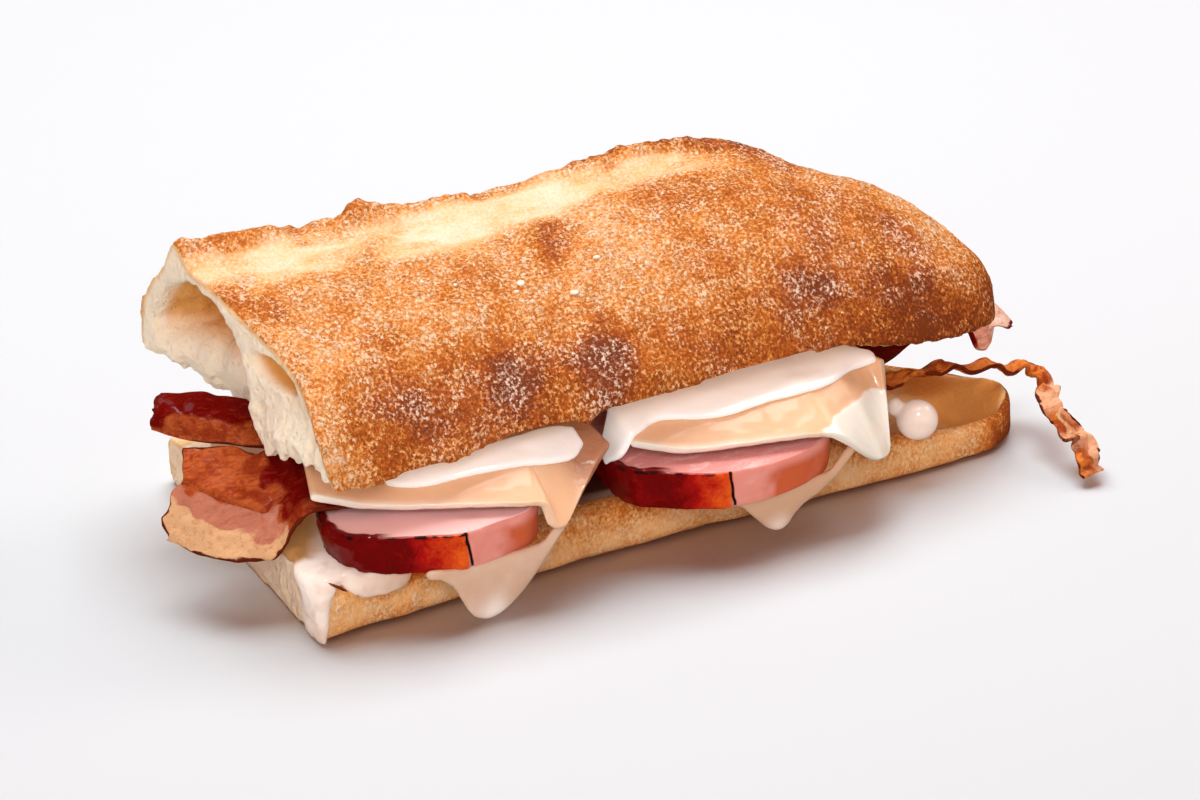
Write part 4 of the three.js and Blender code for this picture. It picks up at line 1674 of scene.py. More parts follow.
@dataclass
class CheeseSlice:
    """A melted slice: level inside, and falling towards its drooping edge.

    Attributes:
        edge: points of its drooping front edge.
        back: the two ends of its back edge, as x and y.
        fold: the height along the loaf below which its corner is folded and pale, or None.
        wet_side: where its right end is wettest.
        size: roughly how long and wide it is, in mm.
        level: the height of its level part.
        reach: how far in its front edge's fall reaches, as back_fall does at the back.
    """

    node: str
    edge: Route
    back: Plan
    seed: int
    fold: Profile | None
    wet_side: Triple
    size: float = 85.0
    thickness: float = 2.2
    level: float = 37.0
    reach: float = 17.0
    back_fall: float = 4.0
    back_drop: float = 5.0

    def upper(self, u: Array, v: Array) -> Array:
        """The slice's upper surface.

        Args:
            u: shares along it.
            v: shares across it.

        Returns:
            One place for each.
        """
        rim = Line(self.edge).at(u)
        far = np.column_stack([lerp(self.back[0][k], self.back[1][k], u) for k in range(2)])
        depth = np.hypot(*(far - rim[:, :2]).T)
        fall = unit(1 - v * depth / self.reach) ** 1.6
        back_fall = np.exp(-((np.maximum(1 - v, 0) * depth / self.back_fall) ** 1.3))
        height = lerp(self.level, rim[:, 2], fall) - self.back_drop * back_fall
        return np.column_stack([lerp(rim[:, :2], far, v[:, None]), height])

    def middle(self, u: Array, v: Array) -> Array:
        """The surface half way through the slice, with its small waves.

        Args:
            u: shares along it.
            v: shares across it.

        Returns:
            One place for each.
        """
        bent = lerp(v, np.sign(v) * v * v, 0.75)
        place = self.upper(u, bent)
        wave = Grain(6.5, self.seed, 2).at(place) * 0.14 + Grain(2.4, self.seed + 3).at(place) * 0.06
        place[:, 2] += wave - self.thickness / 2
        return place

    def build(self) -> Piece:
        """Makes the slice.

        Returns:
            The piece.
        """
        name = f"{self.node}_melted"
        sheet = Sheet(name, self.middle, self.thickness, self.size, self.size, 220, 130, 1.1, 0.75)
        piece, u, v, upper = sheet.build()
        points = BENCH.read(piece)
        x, y, z = points.T
        # Painted highlight: the front lip, the lower lip of the left end and the folded corner are marked
        # pale, partly the colour of thin melted cheese and partly a painted highlight.
        pale = 0.3 * ease(0.035, 0.0, v) + 0.45 * ease(0.10, 0.02, v) * ease(0.45, 0.15, u)
        if self.fold:
            corner = ease(-0.5, 0.5, self.fold(x) + 0.3 * Grain(4, self.seed + 5).at(points) - z)
            corner = corner * ease(self.fold.x[0] - 1, self.fold.x[0] + 2, x) * ease(0.42, 0.30, v)
            pale = np.maximum(pale, corner)
            BENCH.write(piece, points + np.outer(0.45 * corner * upper, (-0.25, -0.7, 0.6)))
        wet = near(points, self.wet_side, 10.0) * ease(0.72, 0.92, u)
        BENCH.mark(piece, pale=unit(pale), wet=unit(wet * 1.6))
        return piece


@dataclass
class Rasher:
    """A broad rasher between a far and a near edge, bulging over its free end.

    Attributes:
        far: points of its far edge, from the free end inwards.
        near: points of its near edge.
        bulge: how far its free part stands out, in mm.
        reach: how much of its length is free.
        fold: where a fold step crosses it at its free end and inside, or None.
        scallop: how far its edges wander, as a share of its width.
    """

    node: str
    far: Route
    near: Route
    bulge: float
    reach: float
    seed: int
    fold: tuple[float, float] | None = None
    thickness: float = 1.5
    scallop: float = 0.05
    length: float = 100.0
    width: float = 24.0

    def fold_line(self, u: Array) -> Array:
        """Where the fold crosses the rasher at each share of its length."""
        start, end = self.fold or (-9.0, -9.0)
        return lerp(start, end, ease(0.0, 0.3, u))

    def surface(self, u: Array, v: Array) -> Array:
        """The middle surface, crumpled and scalloped.

        Args:
            u: shares along it.
            v: shares across it.

        Returns:
            One place for each.
        """
        run = np.outer(u * 60, (1, 0, 0))
        near_edge = -self.scallop * Grain(4.5, self.seed, 2).at(run)
        far_edge = 1 + self.scallop * Grain(5.5, self.seed + 1, 2).at(run)
        across = lerp(near_edge, far_edge, v)
        reach = np.column_stack([np.zeros_like(v), v * 24 + 40, np.zeros_like(v)])
        end = 0.6 * self.scallop * (1 - ease(0, 0.12, u))
        u_shift = u - end * Grain(4.0, self.seed + 2, 2).at(reach)
        point = lerp(Line(self.near).at(u_shift), Line(self.far).at(u_shift), across[:, None])
        free = 1 - ease(self.reach * 0.6, self.reach * 1.4, u)
        crest = np.sin(math.pi * unit(v))
        offset = self.bulge * free * crest + 0.5 * (1 - free) * np.sin(u * 26)
        crumple = 0.8 * Grain(7.0, self.seed + 3, 2).at(point)
        crumple += 0.42 * Grain(2.8, self.seed + 4).at(point)
        offset = offset + crumple * (0.4 + 0.6 * free)
        if self.fold:
            step = ease(-0.035, 0.035, v - self.fold_line(u)) * ease(0.62, 0.40, u)
            offset = offset + 1.7 * step * (1 - 0.75 * ease(0.1, 0.6, v - self.fold_line(u)))
        return point + np.outer(offset, (-0.3, -0.5, 0.5))

    def build(self) -> Piece:
        """Makes the rasher.

        Returns:
            The piece.
        """
        name = f"{self.node}_fried"
        sheet = Sheet(name, self.surface, self.thickness, self.length, self.width, 300, 96, 0.9, 0.5)
        piece, u, v, _ = sheet.build()
        points = BENCH.read(piece)
        self.paint(piece, points, u, v)
        return piece

    def paint(self, piece: Piece, points: Array, u: Array, v: Array) -> None:
        """Marks the rasher's meat, fat and burnt edges.

        Args:
            piece: the piece.
            points: its vertices.
            u: shares along it.
            v: shares across it.
        """
        wander = 0.07 * Grain(6.0, self.seed + 6, 2).at(points)
        rim = np.minimum(np.minimum(u * self.length, v * self.width), (1 - v) * self.width)
        char = 0.9 * ease(1.0, 0.1, rim + 0.6 * Grain(3, self.seed + 7, 2).at(points))
        if self.fold:
            low = v < self.fold_line(u)
            under = self.fold_line(u) - v + wander
            fat = ease(0.19, 0.34, under + 0.9 * wander) * ease(0.46, 0.32, u + 1.6 * wander)
            rosy = ease(-0.03, 0.09, under + 0.5 * wander) * ease(0.46, 0.34, u + wander)
            inner = lerp(ease(0.36, 0.44, u), ease(0.24, 0.33, u + wander), ease(-0.02, 0.02, -under))
            patch = 0.72 + 0.5 * Grain(5.0, self.seed + 8, 2).at(points)
            deep = 0.35 * hill(v - self.fold_line(u), -0.02, 0.02) + inner * patch
            char += 0.35 * inner * ease(0.1, 0.7, Grain(4.0, self.seed + 9, 2).at(points))
            fat = fat * low + 0.8 * hill(v, 1.0, 0.05) * hill(u, 0.06, 0.03)
        else:
            deep = ease(0.36, 0.56, v + wander) + 0.9 * ease(0.10, 0.03, u) * ease(0.0, 0.2, v)
            fat = 0.35 * hill(v, 0.35, 0.1) * hill(u, 0.12, 0.05)
            rosy = 0.5 * hill(u, 0.03, 0.03) * hill(v, 0.55, 0.25)
        BENCH.mark(piece, deep=unit(deep), rosy=unit(rosy), fat=unit(fat), char=unit(char))


@dataclass
class CurledRasher(Rasher):
    """The rasher at the round end: pale fat with a thin red edge, painted dark inside the loaf as painted
    shade.
    """

    def paint(self, piece: Piece, points: Array, u: Array, v: Array) -> None:
        """Marks its fat, its red edge and its inner part, painted dark as painted shade.

        Args:
            piece: the piece.
            points: its vertices.
            u: shares along it.
            v: shares across it.
        """
        wander = 0.08 * Grain(5.0, self.seed + 6, 2).at(points)
        fat = ease(0.24, 0.15, u + wander) * ease(0.99, 0.88, v)
        rosy = ease(0.44, 0.34, u + wander)
        # Painted shade: the inner part under the loaf is marked deep and charred; the other deep terms are
        # its real red edges and tip.
        deep = ease(0.40, 0.50, u + wander) * 0.8 + 0.45 * ease(0.95, 0.99, v) + 0.4 * ease(0.06, 0.01, v)
        deep += 0.8 * ease(0.035, 0.01, u + 0.1 * wander)
        char = 0.5 * ease(0.4, 0.6, u)
        BENCH.mark(piece, deep=unit(deep), rosy=rosy, fat=fat, char=char)


@dataclass
class CrispRasher:
    """The long narrow rasher: a crinkled ribbon about its middle line.

    Attributes:
        line: points of its middle line, from its free end inwards.
        ripple: how high each of its ripples is, in mm.
    """

    node: str
    line: Route
    seed: int
    width: Profile = Profile([
        (0, 6.4), (0.12, 6.8), (0.28, 5.8), (0.38, 6.0), (0.46, 5.2), (0.54, 4.6), (0.78, 4.6), (1, 5)])
    ripple: float = 0.9
    ripples: int = 13
    thickness: float = 1.3
    length: float = 170.0

    def surface(self, u: Array, v: Array) -> Array:
        """The ribbon's middle surface, twisted and crinkled.

        Args:
            u: shares along it.
            v: shares across it.

        Returns:
            One place for each.
        """
        middle = Line(self.line)
        inside = np.clip(u, 0.002, 0.998)
        tangent = middle.at(inside + 0.002) - middle.at(inside - 0.002)
        tangent /= np.linalg.norm(tangent, axis=1, keepdims=True)
        across = np.cross(tangent, (0.0, 0.0, 1.0))
        across /= np.linalg.norm(across, axis=1, keepdims=True)
        up = np.cross(across, tangent)
        run = np.outer(u * self.length, (1, 0, 0))
        twist = (0.55 * Grain(17, self.seed).at(run) + 0.35 * np.sin(2 * math.pi * u * 5)) * ease(0.5, 0.3, u)
        side = across * np.cos(twist)[:, None] + up * np.sin(twist)[:, None]
        normal = np.cross(side, tangent)
        edge = (0.5 - v) * self.width(u) * (1 + 0.22 * Grain(6, self.seed + 2, 2).at(run))
        wave = self.ripple * np.sin(2 * math.pi * self.ripples * u + 1.2 * (v - 0.5))
        wave = wave + 0.8 * Grain(4.0, self.seed + 4, 2).at(run + np.outer(v * 8, (0, 1, 0)))
        return middle.at(u) + side * edge[:, None] - normal * wave[:, None]

    def build(self) -> Piece:
        """Makes the ribbon and marks its fat and burnt edges.

        Returns:
            The piece.
        """
        name = f"{self.node}_fried"
        sheet = Sheet(name, self.surface, self.thickness, self.length, 7, 560, 34, 0.7, 0.4)
        piece, u, v, _ = sheet.build()
        points = BENCH.read(piece)
        wander = 0.16 * Grain(5.0, self.seed + 6, 2).at(points)
        rim = np.minimum(v, 1 - v) * self.width(u)
        char = 0.7 * ease(0.7, 0.0, rim + 0.5 * Grain(3.5, self.seed + 7, 2).at(points))
        fat = 0.7 * hill(v + wander, 0.5, 0.22) * hill(u, 0.20, 0.12)
        rosy = ease(0.46, 0.38, u) * (0.62 + 0.4 * Grain(6, self.seed + 8).at(points))
        rosy += ease(0.55, 0.75, 1 - v) * 0.3
        # Painted shade: the last term paints the part inside the loaf dark; the grain term is the meat's own.
        deep = 0.05 + 0.30 * Grain(8, self.seed + 9, 2).at(points) + 0.6 * ease(0.79, 0.86, u)
        BENCH.mark(piece, deep=unit(deep - rosy), rosy=unit(rosy), fat=fat, char=char)
        return piece


# ---- Sauces ----


@dataclass
class SauceRun:
    """Sauce that runs down: levels from the top, each an ellipse.

    Attributes:
        levels: height, middle x and y, half width and half depth of each level.
    """

    levels: Sequence[tuple[float, float, float, float, float]]

    def build(self, name: str) -> Piece:
        """Makes the run as a closed body.

        Args:
            name: its name.

        Returns:
            The piece.
        """
        shares = np.linspace(0, 1, len(self.levels))
        tracks = [Profile(list(zip(shares, column))) for column in zip(*self.levels)]

        def section(along: Array, turn: Array) -> Array:
            """The level's ellipse."""
            z, x, y, wide, deep = (track(along) for track in tracks)
            angle = 2 * math.pi * turn
            return np.column_stack([x + wide * np.cos(angle), y + deep * np.sin(angle), z])

        return BENCH.tube(name, 24, 40, section)


@dataclass
class SauceRibbon:
    """A ribbon of sauce draped over what lies below it.

    Attributes:
        rounds: how many rounds of flowing fill the dips below it.
        lowest: how high it lies where nothing is below it.
        margin: how far past its edges it is draped, as a share.
    """

    node: str
    front: Plan
    back: Plan
    thickness: float = 1.9
    rounds: int = 12
    lowest: float = 17.0
    margin: float = 0.05

    def landed(self, skins: Sequence[BVHTree], spot: Array) -> float:
        """How high the sauce lies at one spot."""
        hits = [skin.ray_cast(Vector((spot[0], spot[1], 90)), Vector((0, 0, -1)))[0] for skin in skins]
        return max([hit.z for hit in hits if hit is not None] or [self.lowest])

    def build(self, below: Sequence[Piece]) -> Piece:
        """Pours the ribbon over the pieces below it.

        Args:
            below: what it lies on.

        Returns:
            The piece.
        """
        skins = [BENCH.skin(piece) for piece in below]
        front, back = Line(self.front), Line(self.back)
        shares = (np.linspace(-self.margin, 1 + self.margin, steps) for steps in (56, 23))
        lattice = np.stack(np.meshgrid(*shares, indexing="ij"))
        u, v = lattice.reshape(2, -1)
        spots = lerp(front.at(u), back.at(u), v[:, None])
        rest = np.array([self.landed(skins, spot) for spot in spots]).reshape(lattice.shape[1:])
        drape = rest.copy()
        for _ in range(self.rounds):
            padded = np.pad(drape, 1, mode="edge")
            drape = (padded[2:, 1:-1] + padded[:-2, 1:-1] + padded[1:-1, 2:] + padded[1:-1, :-2]) / 4
            drape = np.maximum(drape, rest)

        def surface(u: Array, v: Array) -> Array:
            """The draped lattice between its corners, with a slow wobble.

            Args:
                u: shares along it.
                v: shares across it.

            Returns:
                One place for each.
            """
            place = lerp(front.at(u), back.at(u), v[:, None])
            level = np.column_stack([place[:, :2], np.zeros(len(place))])
            wobble = 0.25 * Grain(8, 91, 2).at(level)
            shares = [(share + self.margin) / (1 + 2 * self.margin) for share in (u, v)]
            across = [np.clip(s * (n - 1), 0, n - 1.001) for s, n in zip(shares, drape.shape)]
            (i, j), (a, b) = np.floor(across).astype(int), np.array(across) - np.floor(across)
            low = lerp(drape[i, j], drape[i + 1, j], a)
            high = lerp(drape[i, j + 1], drape[i + 1, j + 1], a)
            place[:, 2] = lerp(low, high, b) + self.thickness * 0.22 + wobble
            return place

        sheet = Sheet(f"{self.node}_poured", surface, self.thickness, 70, 12, 130, 50, 1.5, 0.5)
        piece = sheet.build()[0]
        BENCH.knead(piece, 0.45, 8)
        BENCH.mark(piece, thin=0.0)
        return piece


@dataclass
class Curtain:
    """A film of sauce that hangs from the ham.

    Attributes:
        top: its upper edge's height along the loaf.
        hem: its lower edge's height along the loaf.
        depth: its y along the loaf.
    """

    left: float
    right: float
    top: Profile
    hem: Profile
    depth: Profile
    thickness: float = 2.5

    def build(self, name: str) -> Piece:
        """Makes the film as a closed body.

        Args:
            name: its name.

        Returns:
            The piece.
        """

        def surface(u: Array, v: Array) -> Array:
            """The film, a little bellied towards the front."""
            x = lerp(self.left, self.right, u)
            z = lerp(self.top(x), self.hem(x), v)
            return np.column_stack([x, self.depth(x) - 0.6 * np.sin(math.pi * unit(v)), z])

        length, lip = self.right - self.left, self.thickness / 2
        return Sheet(name, surface, self.thickness, length, 12, 90, 40, lip, 0.5).build()[0]


@dataclass
class SauceUnderHam:
    """The sauce between the lower bread and the ham, with its films, drips and corner.

    Attributes:
        curtains: the films that hang from the ham.
        runs: the drips and the corner's run.
        tips: the thick lower ends of the drips.
        corner: the middle of the thick sauce at the cut corner.
    """

    node: str = "sauce_under_ham"
    tips: tuple[Triple, ...] = ((40.6, -54, 3), (118.4, -57, 7))
    corner: Triple = (2, -40, 12)
    outline: tuple = (
        (3, -41), (30, -40.5), (62, -39), (90, -40), (134, -41), (142, -20), (132, 14), (100, 34),
        (50, 38), (6, 36), (0, 10), (-1, -20))
    curtains: tuple = (
        Curtain(24, 61, Profile([(24, 17.4), (54, 17.6), (58, 20.5), (61, 23.5)]), Profile([
            (24, 16.6), (27.4, 16.0), (29.2, 14.4), (31, 12.4), (32.2, 9.8), (33.4, 6.8), (35.4, 3.0),
            (38.7, 0.9), (42.2, 1.2), (45.1, 2.8), (48.4, 5.6), (51, 8.6), (54, 12.6), (57.5, 17.2),
            (61, 22)]),
            Profile([(24, -53), (31, -54), (50, -54), (62, -53)])),
        Curtain(104, 142, Profile([(104, 17.4), (134, 17.6), (138, 20.5), (142, 23.5)]), Profile([
            (104, 16.6), (107, 16), (109.4, 13.6), (112.4, 9.9), (115.4, 6.6), (118.4, 4.9), (121, 5.5),
            (122.8, 8.0), (125.5, 10.6), (129.8, 12.6), (134, 15.6), (138.4, 19.6), (142, 23)]),
            Profile([(104, -56), (112, -57), (130, -57), (146, -55)])),
    )
    runs: tuple = (
        SauceRun(((17, 42, -46, 14, 7), (14.6, 42, -51, 9, 3.2), (11, 42, -53, 6.6, 1.8),
                  (6, 41, -54, 5.0, 1.9), (2.6, 40.4, -54, 4.2, 1.7))),
        SauceRun(((17, 120, -46, 13, 8), (15.4, 120, -52, 9, 4), (11, 119, -56, 5, 2),
                  (7.6, 118.6, -56.8, 3.6, 1.9), (6, 118.6, -56.8, 2.2, 1.4))),
        SauceRun(((17.8, 6, -37.6, 8.4, 7.4), (15.6, 3.0, -39, 5.4, 7.4), (12, 1.1, -40, 2.5, 6.8),
                  (6, 0.7, -40.3, 1.6, 6.3), (1.6, 0.6, -40.5, 1.5, 6.0), (0.3, 0.6, -40.5, 1.3, 5.8))),
        SauceRun(((17, 15.5, -42.6, 9.5, 4.4), (14.6, 15.5, -45.6, 8.8, 2.6), (11.2, 16.4, -46.4, 5.6, 1.6))),
    )

    def build(self) -> Piece:
        """Pours the layer, its films and its runs as one body.

        Returns:
            The piece.
        """
        line = Line(self.outline, closed=True)
        heart = np.array([*np.mean(self.outline, axis=0), 0.0])

        def layer(along: Array, turn: Array) -> Array:
            """The flat layer, thin at its rim."""
            inset = unit(np.minimum(along, 1 - along) / 0.35)
            place = lerp(heart, line.at(turn), (inset**0.6 * 0.999)[:, None])
            place[:, 2] = lerp(17.9, 15.2, ease(0.3, 0.7, along))
            return place

        parts = [BENCH.tube(f"{self.node}_poured", 30, 120, layer)]
        parts += [run.build(f"run{k}") for k, run in enumerate(self.runs)]
        parts += [curtain.build(f"film{k}") for k, curtain in enumerate(self.curtains)]
        piece = BENCH.melt(parts, 0.6, 5)
        points = BENCH.read(piece)
        x, y, z = points.T
        corner = near(points, self.corner, 15)
        thick = unit(1.5 * corner)
        lumps = (0.35 + 0.5 * Grain(4.0, 95, 3).at(points)) * thick
        BENCH.write(piece, points + BENCH.normals(piece) * lumps[:, None])
        lip = sum(near(points, tip, 4.5) for tip in self.tips)
        wedge = ease(-37, -33, y) * ease(-6, -12, y) * hill(x, 6.5 + 0.5 * (y + 17), 6) * ease(13, 15.5, z)
        crumbs = 0.2 * thick * ease(0.35, 0.75, Grain(2.2, 96, 2).at(points))
        # Painted shadow: the gap between the hams, under the crust, is marked dark and painted near black.
        gap_shadow = ease(60, 64, x) * ease(98, 92, x) * ease(-42.5, -38.5, y) * ease(14, 16, z)
        thin = np.clip(0.8 + 0.2 * ease(80, 110, x) - 0.44 * corner - 0.5 * lip, 0.3, 1)
        BENCH.mark(piece, thin=thin, matt=unit(1.4 * corner), stain=unit(1.3 * wedge + crumbs), dark=gap_shadow)
        return piece


@dataclass
class Bubbles:
    """Two round bubbles of sauce that stand on the lower bread's front rim.

    Attributes:
        beads: each bubble's middle, its radius, and how tall it is for its width.
    """

    node: str = "sauce_under_ham"
    beads: tuple = (((168.4, -44.6, 17.4), 5.5, 0.96), ((164.2, -40.4, 20.2), 2.3, 1.05))

    def build(self) -> Piece:
        """Blows the bubbles and melts them together.

        Returns:
            The piece.
        """
        parts = []
        for k, (place, radius, squash) in enumerate(self.beads):
            piece = BENCH.ball(f"bead{k}", 48, 32)
            size = np.array([radius, radius, radius * squash])
            BENCH.mould(piece, lambda raw, size=size, place=place: raw * size + np.array(place))
            parts.append(piece)
        piece = BENCH.melt(parts, 0.4, 4)
        piece.name = "sauce_bubbles"
        BENCH.mark(piece, thin=0.5)
        return piece


@dataclass
class FlourCrumbs:
    """Loose white crumbs of flour on the upper crust.

    Attributes:
        spots: where they lie, as x and y, the larger ones first.
        larger: how many of them are larger.
    """

    spots: tuple = (
        (89.4, -16.5), (68.1, -16.7), (80, -22.8), (66, -19), (70.5, -14), (91, -14.5), (60, -8), (76, -12),
        (98, -20), (45, -10), (52, -14), (104, -12), (128, -8))
    larger: int = 3

    def build(self, crust: Piece) -> Piece:
        """Scatters the crumbs over the crust, one small lump each.

        Args:
            crust: what they lie on.

        Returns:
            The piece.
        """
        skin = BENCH.skin(crust)
        parts = []
        for k, (x, y) in enumerate(self.spots):
            landed = skin.ray_cast(Vector((x, y, 120)), Vector((0, 0, -1)))[0]
            if landed is None:
                continue
            size = (0.9 if k < self.larger else 0.45) * (1 + 0.3 * math.sin(7 * k))
            piece = BENCH.pebble(f"crumb{k}", 2)

            def lump(raw: Array, size: float = size, k: int = k, landed: Vector = landed) -> Array:
                """Roughens and flattens the ball, and sets it on the crust."""
                rough = 1 + 0.35 * Grain(0.7, 200 + k).at(raw)
                return raw * rough[:, None] * size * np.array([1, 0.8, 0.6]) + np.array(landed)

            BENCH.mould(piece, lump)
            parts.append(piece)
        BENCH.take(*reversed(parts))
        bpy.ops.object.join()
        piece = parts[0]
        piece.name = "flour_crumbs"
        BENCH.mark(piece, bake=0.0, flour=1.0, depth=3.0, pore=0.0, warm=0.0)
        return piece


@dataclass
class BrownFlake:
    """A thin browned flake of crust that lies on the corner sauce."""

    start: Triple = (1.8, -47.4, 18.0)
    end: Triple = (6.4, -47.6, 14.6)
    width: float = 0.9

    def build(self) -> Piece:
        """Makes the flake.

        Returns:
            The piece.
        """
        piece = BENCH.pebble("brown_flake", 3)
        low, high = np.array(self.start), np.array(self.end)

        def shape(raw: Array) -> Array:
            """Stretches the ball between the flake's two ends."""
            rough = 1 + 0.4 * Grain(0.5, 301, 2).at(raw)
            across = raw * np.array([0.0, 0.7, 1.0]) * self.width * rough[:, None] * 0.5
            return lerp(low, high, (raw[:, :1] + 1) / 2) + across

        BENCH.mould(piece, shape)
        BENCH.mark(piece, bake=0.85, flour=0.0, depth=0.0, pore=0.0, warm=0.0)
        return piece


# ---- Studio ----


@dataclass(frozen=True)
class Softbox:
    """A large soft light.

    Attributes:
        place: where it stands, in metres.
        size: how wide and high it is, in metres.
        power: how strong it is, in watts.
        only_food: whether it misses the table and makes no highlights.
        only_gloss: whether it makes highlights and nothing else.
    """

    name: str
    place: Triple
    size: tuple[float, float]
    power: float
    colour: Colour = (1.0, 1.0, 1.0)
    only_food: bool = False
    only_gloss: bool = False

    def hang(self, target: Vector, table: Piece) -> None:
        """Hangs the light, facing the target; a light for the food alone misses the table.

        Args:
            target: what it faces.
            table: the table top.
        """
        lamp = bpy.data.lights.new(self.name, "AREA")
        lamp.shape, lamp.size, lamp.size_y = "RECTANGLE", *self.size
        lamp.energy, lamp.color = self.power, self.colour
        stand = bpy.data.objects.new(self.name, lamp)
        stand.location = self.place
        stand.rotation_euler = (target - Vector(self.place)).to_track_quat("-Z", "Y").to_euler()
        bpy.context.scene.collection.objects.link(stand)
        stand.visible_diffuse = not self.only_gloss
        if self.only_food:
            stand.visible_glossy = False
            kept_off = bpy.data.collections.new(f"{self.name}_kept_off")
            kept_off.objects.link(table)
            kept_off.collection_objects[0].light_linking.link_state = "EXCLUDE"
            stand.light_linking.receiver_collection = kept_off


@dataclass
class Studio:
    """A white table, a soft surround, soft lights and the camera.

    Attributes:
        target: the point of the loaf that the camera and the lights face.
        azimuth: how far the camera is turned from the front, as elevation is how far it looks down.
        distance: how far the camera stands from the target, in metres.
        surround: how strong the light of the surround is, and sky its colour.
        backdrop: the colour of the dome of cloth, and backdrop_size its radii, in mm.
    """

    target: Triple = (99.1, 0.0, 19.5)
    azimuth: float = -28.1
    elevation: float = 28.3
    distance: float = 0.739
    lens: float = 85.0
    surround: float = 0.28
    sky: Colour = (1.0, 0.50, 0.39)
    table: Colour = (0.775, 0.80, 0.815)
    backdrop: Colour = (0.80, 0.785, 0.78)
    backdrop_size: Triple = (1700.0, 1700.0, 1500.0)
    table_size: Triple = (6000.0, 6000.0, 0.0)
    lights: tuple = (
        Softbox("key", (0.06, 0.42, 1.3), (1.1, 0.9), 21.6, (0.90, 1.0, 1.04)),
        Softbox("side", (1.05, 0.05, 0.95), (0.5, 0.5), 3.4, (1.0, 0.86, 0.80)),
        Softbox("glint", (-0.15, -0.55, 1.1), (0.24, 0.16), 7.0, only_gloss=True),
        Softbox("fill", (-0.65, -1.0, 0.85), (1.2, 0.8), 14.2, (0.99, 1.0, 1.03), only_food=True),
    )

    def build(self) -> None:
        """Sets everything up."""
        self.light(self.lay_table())
        self.hang_backdrop()
        self.aim_camera()

    def lay_table(self) -> Piece:
        """Lays the plain table top.

        Returns:
            The piece.
        """
        piece = BENCH.grid("table_top", 8, 8)
        BENCH.mould(piece, lambda raw: raw * self.table_size)
        paint = Paint("table_white")
        soft = paint.noise(900.0, 1.0)
        shade = paint.mix(soft * 0.2, self.table, tuple(0.99 * c for c in self.table))
        piece.data.materials.append(paint.done(paint.shader(base_color=shade, roughness=0.55,
                                                            specular_ior_level=0.25)))
        piece.visible_glossy = False
        return piece

    def hang_backdrop(self) -> None:
        """Hangs a pale dome of cloth round the table, which casts no light or shade."""
        piece = BENCH.ball("backdrop", 64, 32)
        BENCH.mould(piece, lambda raw: raw * self.backdrop_size + np.array(self.target))
        paint = Paint("backdrop_pale")
        glow = paint.node("Emission", {}, {"Color": self.backdrop, "Strength": 1.0})
        piece.data.materials.append(paint.done(glow))
        for ray in ("diffuse", "glossy", "transmission", "shadow"):
            setattr(piece, f"visible_{ray}", False)

    def light(self, table: Piece) -> None:
        """Lights the table and the loaf.

        Args:
            table: the table top.
        """
        scene = bpy.context.scene
        scene.world = scene.world or bpy.data.worlds.new("surround")
        scene.world.use_nodes = True
        scene.world.node_tree.nodes["Background"].inputs[0].default_value = (*self.sky, 1.0)
        scene.world.node_tree.nodes["Background"].inputs[1].default_value = self.surround
        scene.world.cycles_visibility.glossy = False
        aim = Vector(BENCH.to_frame(self.target))
        for softbox in self.lights:
            softbox.hang(aim, table)
        scene.view_settings.view_transform = "Standard"
        scene.view_settings.look = "None"

    def aim_camera(self) -> None:
        """Sets the camera at its viewing angle."""
        turn, tilt = math.radians(self.azimuth), math.radians(self.elevation)
        back = Vector((math.sin(turn) * math.cos(tilt), -math.cos(turn) * math.cos(tilt), math.sin(tilt)))
        camera = bpy.data.objects.new("camera", bpy.data.cameras.new("camera"))
        camera.data.lens, camera.data.sensor_width = self.lens, 36.0
        camera.data.clip_start, camera.data.clip_end = 0.05, 20.0
        camera.location = Vector(BENCH.to_frame(self.target)) + back * self.distance
        camera.rotation_euler = (-back).to_track_quat("-Z", "Y").to_euler()
        bpy.context.scene.collection.objects.link(camera)
        bpy.context.scene.camera = camera


# ---- The sandwich ----


LOWER_CRUST = CrustFinish(straw=(0.92, 0.56, 0.25), hollow=(0.68, 0.275, 0.065), crumb=(0.94, 0.72, 0.50))
ROSY_HAM = HamFinish(lean=(0.78, 0.30, 0.27))
PALE_BACON = BaconFinish(rosy=(0.84, 0.40, 0.27), fat=(0.96, 0.62, 0.47))
CRISP_BACON = BaconFinish(crisp=(0.72, 0.22, 0.03), rosy=(0.84, 0.42, 0.23))
HAMS = (
    HamSlice("ham_left", (
        (6.2, -36), (7.4, -42), (10.8, -45.6), (18, -48.8), (26, -52.2), (33.2, -55.0), (43.3, -54.4),
        (52.6, -52.4), (57, -47), (59, -18), (57, 14), (47, 33), (31, 38), (22, 30), (18, 8), (14, -12),
        (9.5, -24), (6.8, -30.5)), 34.5, 110),
    HamSlice("ham_right", (
        (80, -40), (82.5, -47.5), (90, -52.5), (102, -59), (115, -60.6), (127, -58.4), (136.5, -52.4),
        (139.5, -40), (139, -14), (133, 10), (122, 27), (104, 36), (87, 30), (80, 8)), 104.0, 140),
)
CHEESES = (
    CheeseSlice("cheese_left", (
        (4, -33.5, 34.6), (17, -39.5, 31.2), (36, -48, 30.8), (49, -53.8, 30.4), (54.6, -55.6, 29.6),
        (56.2, -56.8, 24.6), (59, -56.4, 23.0), (67.5, -51.5, 29), (77, -46, 36.4)),
        ((24, 39), (76, 40)), 170, None, (73, -46, 34)),
    CheeseSlice("cheese_right", (
        (84, -44.6, 33.4), (94, -49.4, 31), (108, -53.4, 30.6), (121, -56.4, 30.6), (132.4, -59.2, 30.2),
        (135.6, -60, 28.6), (146.4, -58.2, 19.2), (148.6, -57.4, 18), (152.8, -54, 16.8), (154.2, -52.6, 18),
        (156.8, -47.6, 27), (159, -41, 36.8)),
        ((84, 40), (138, 31)), 180,
        Profile([(130, 31.0), (134, 31.4), (146, 31.3), (159, 29.3)]), (300, 0, 0)),
)
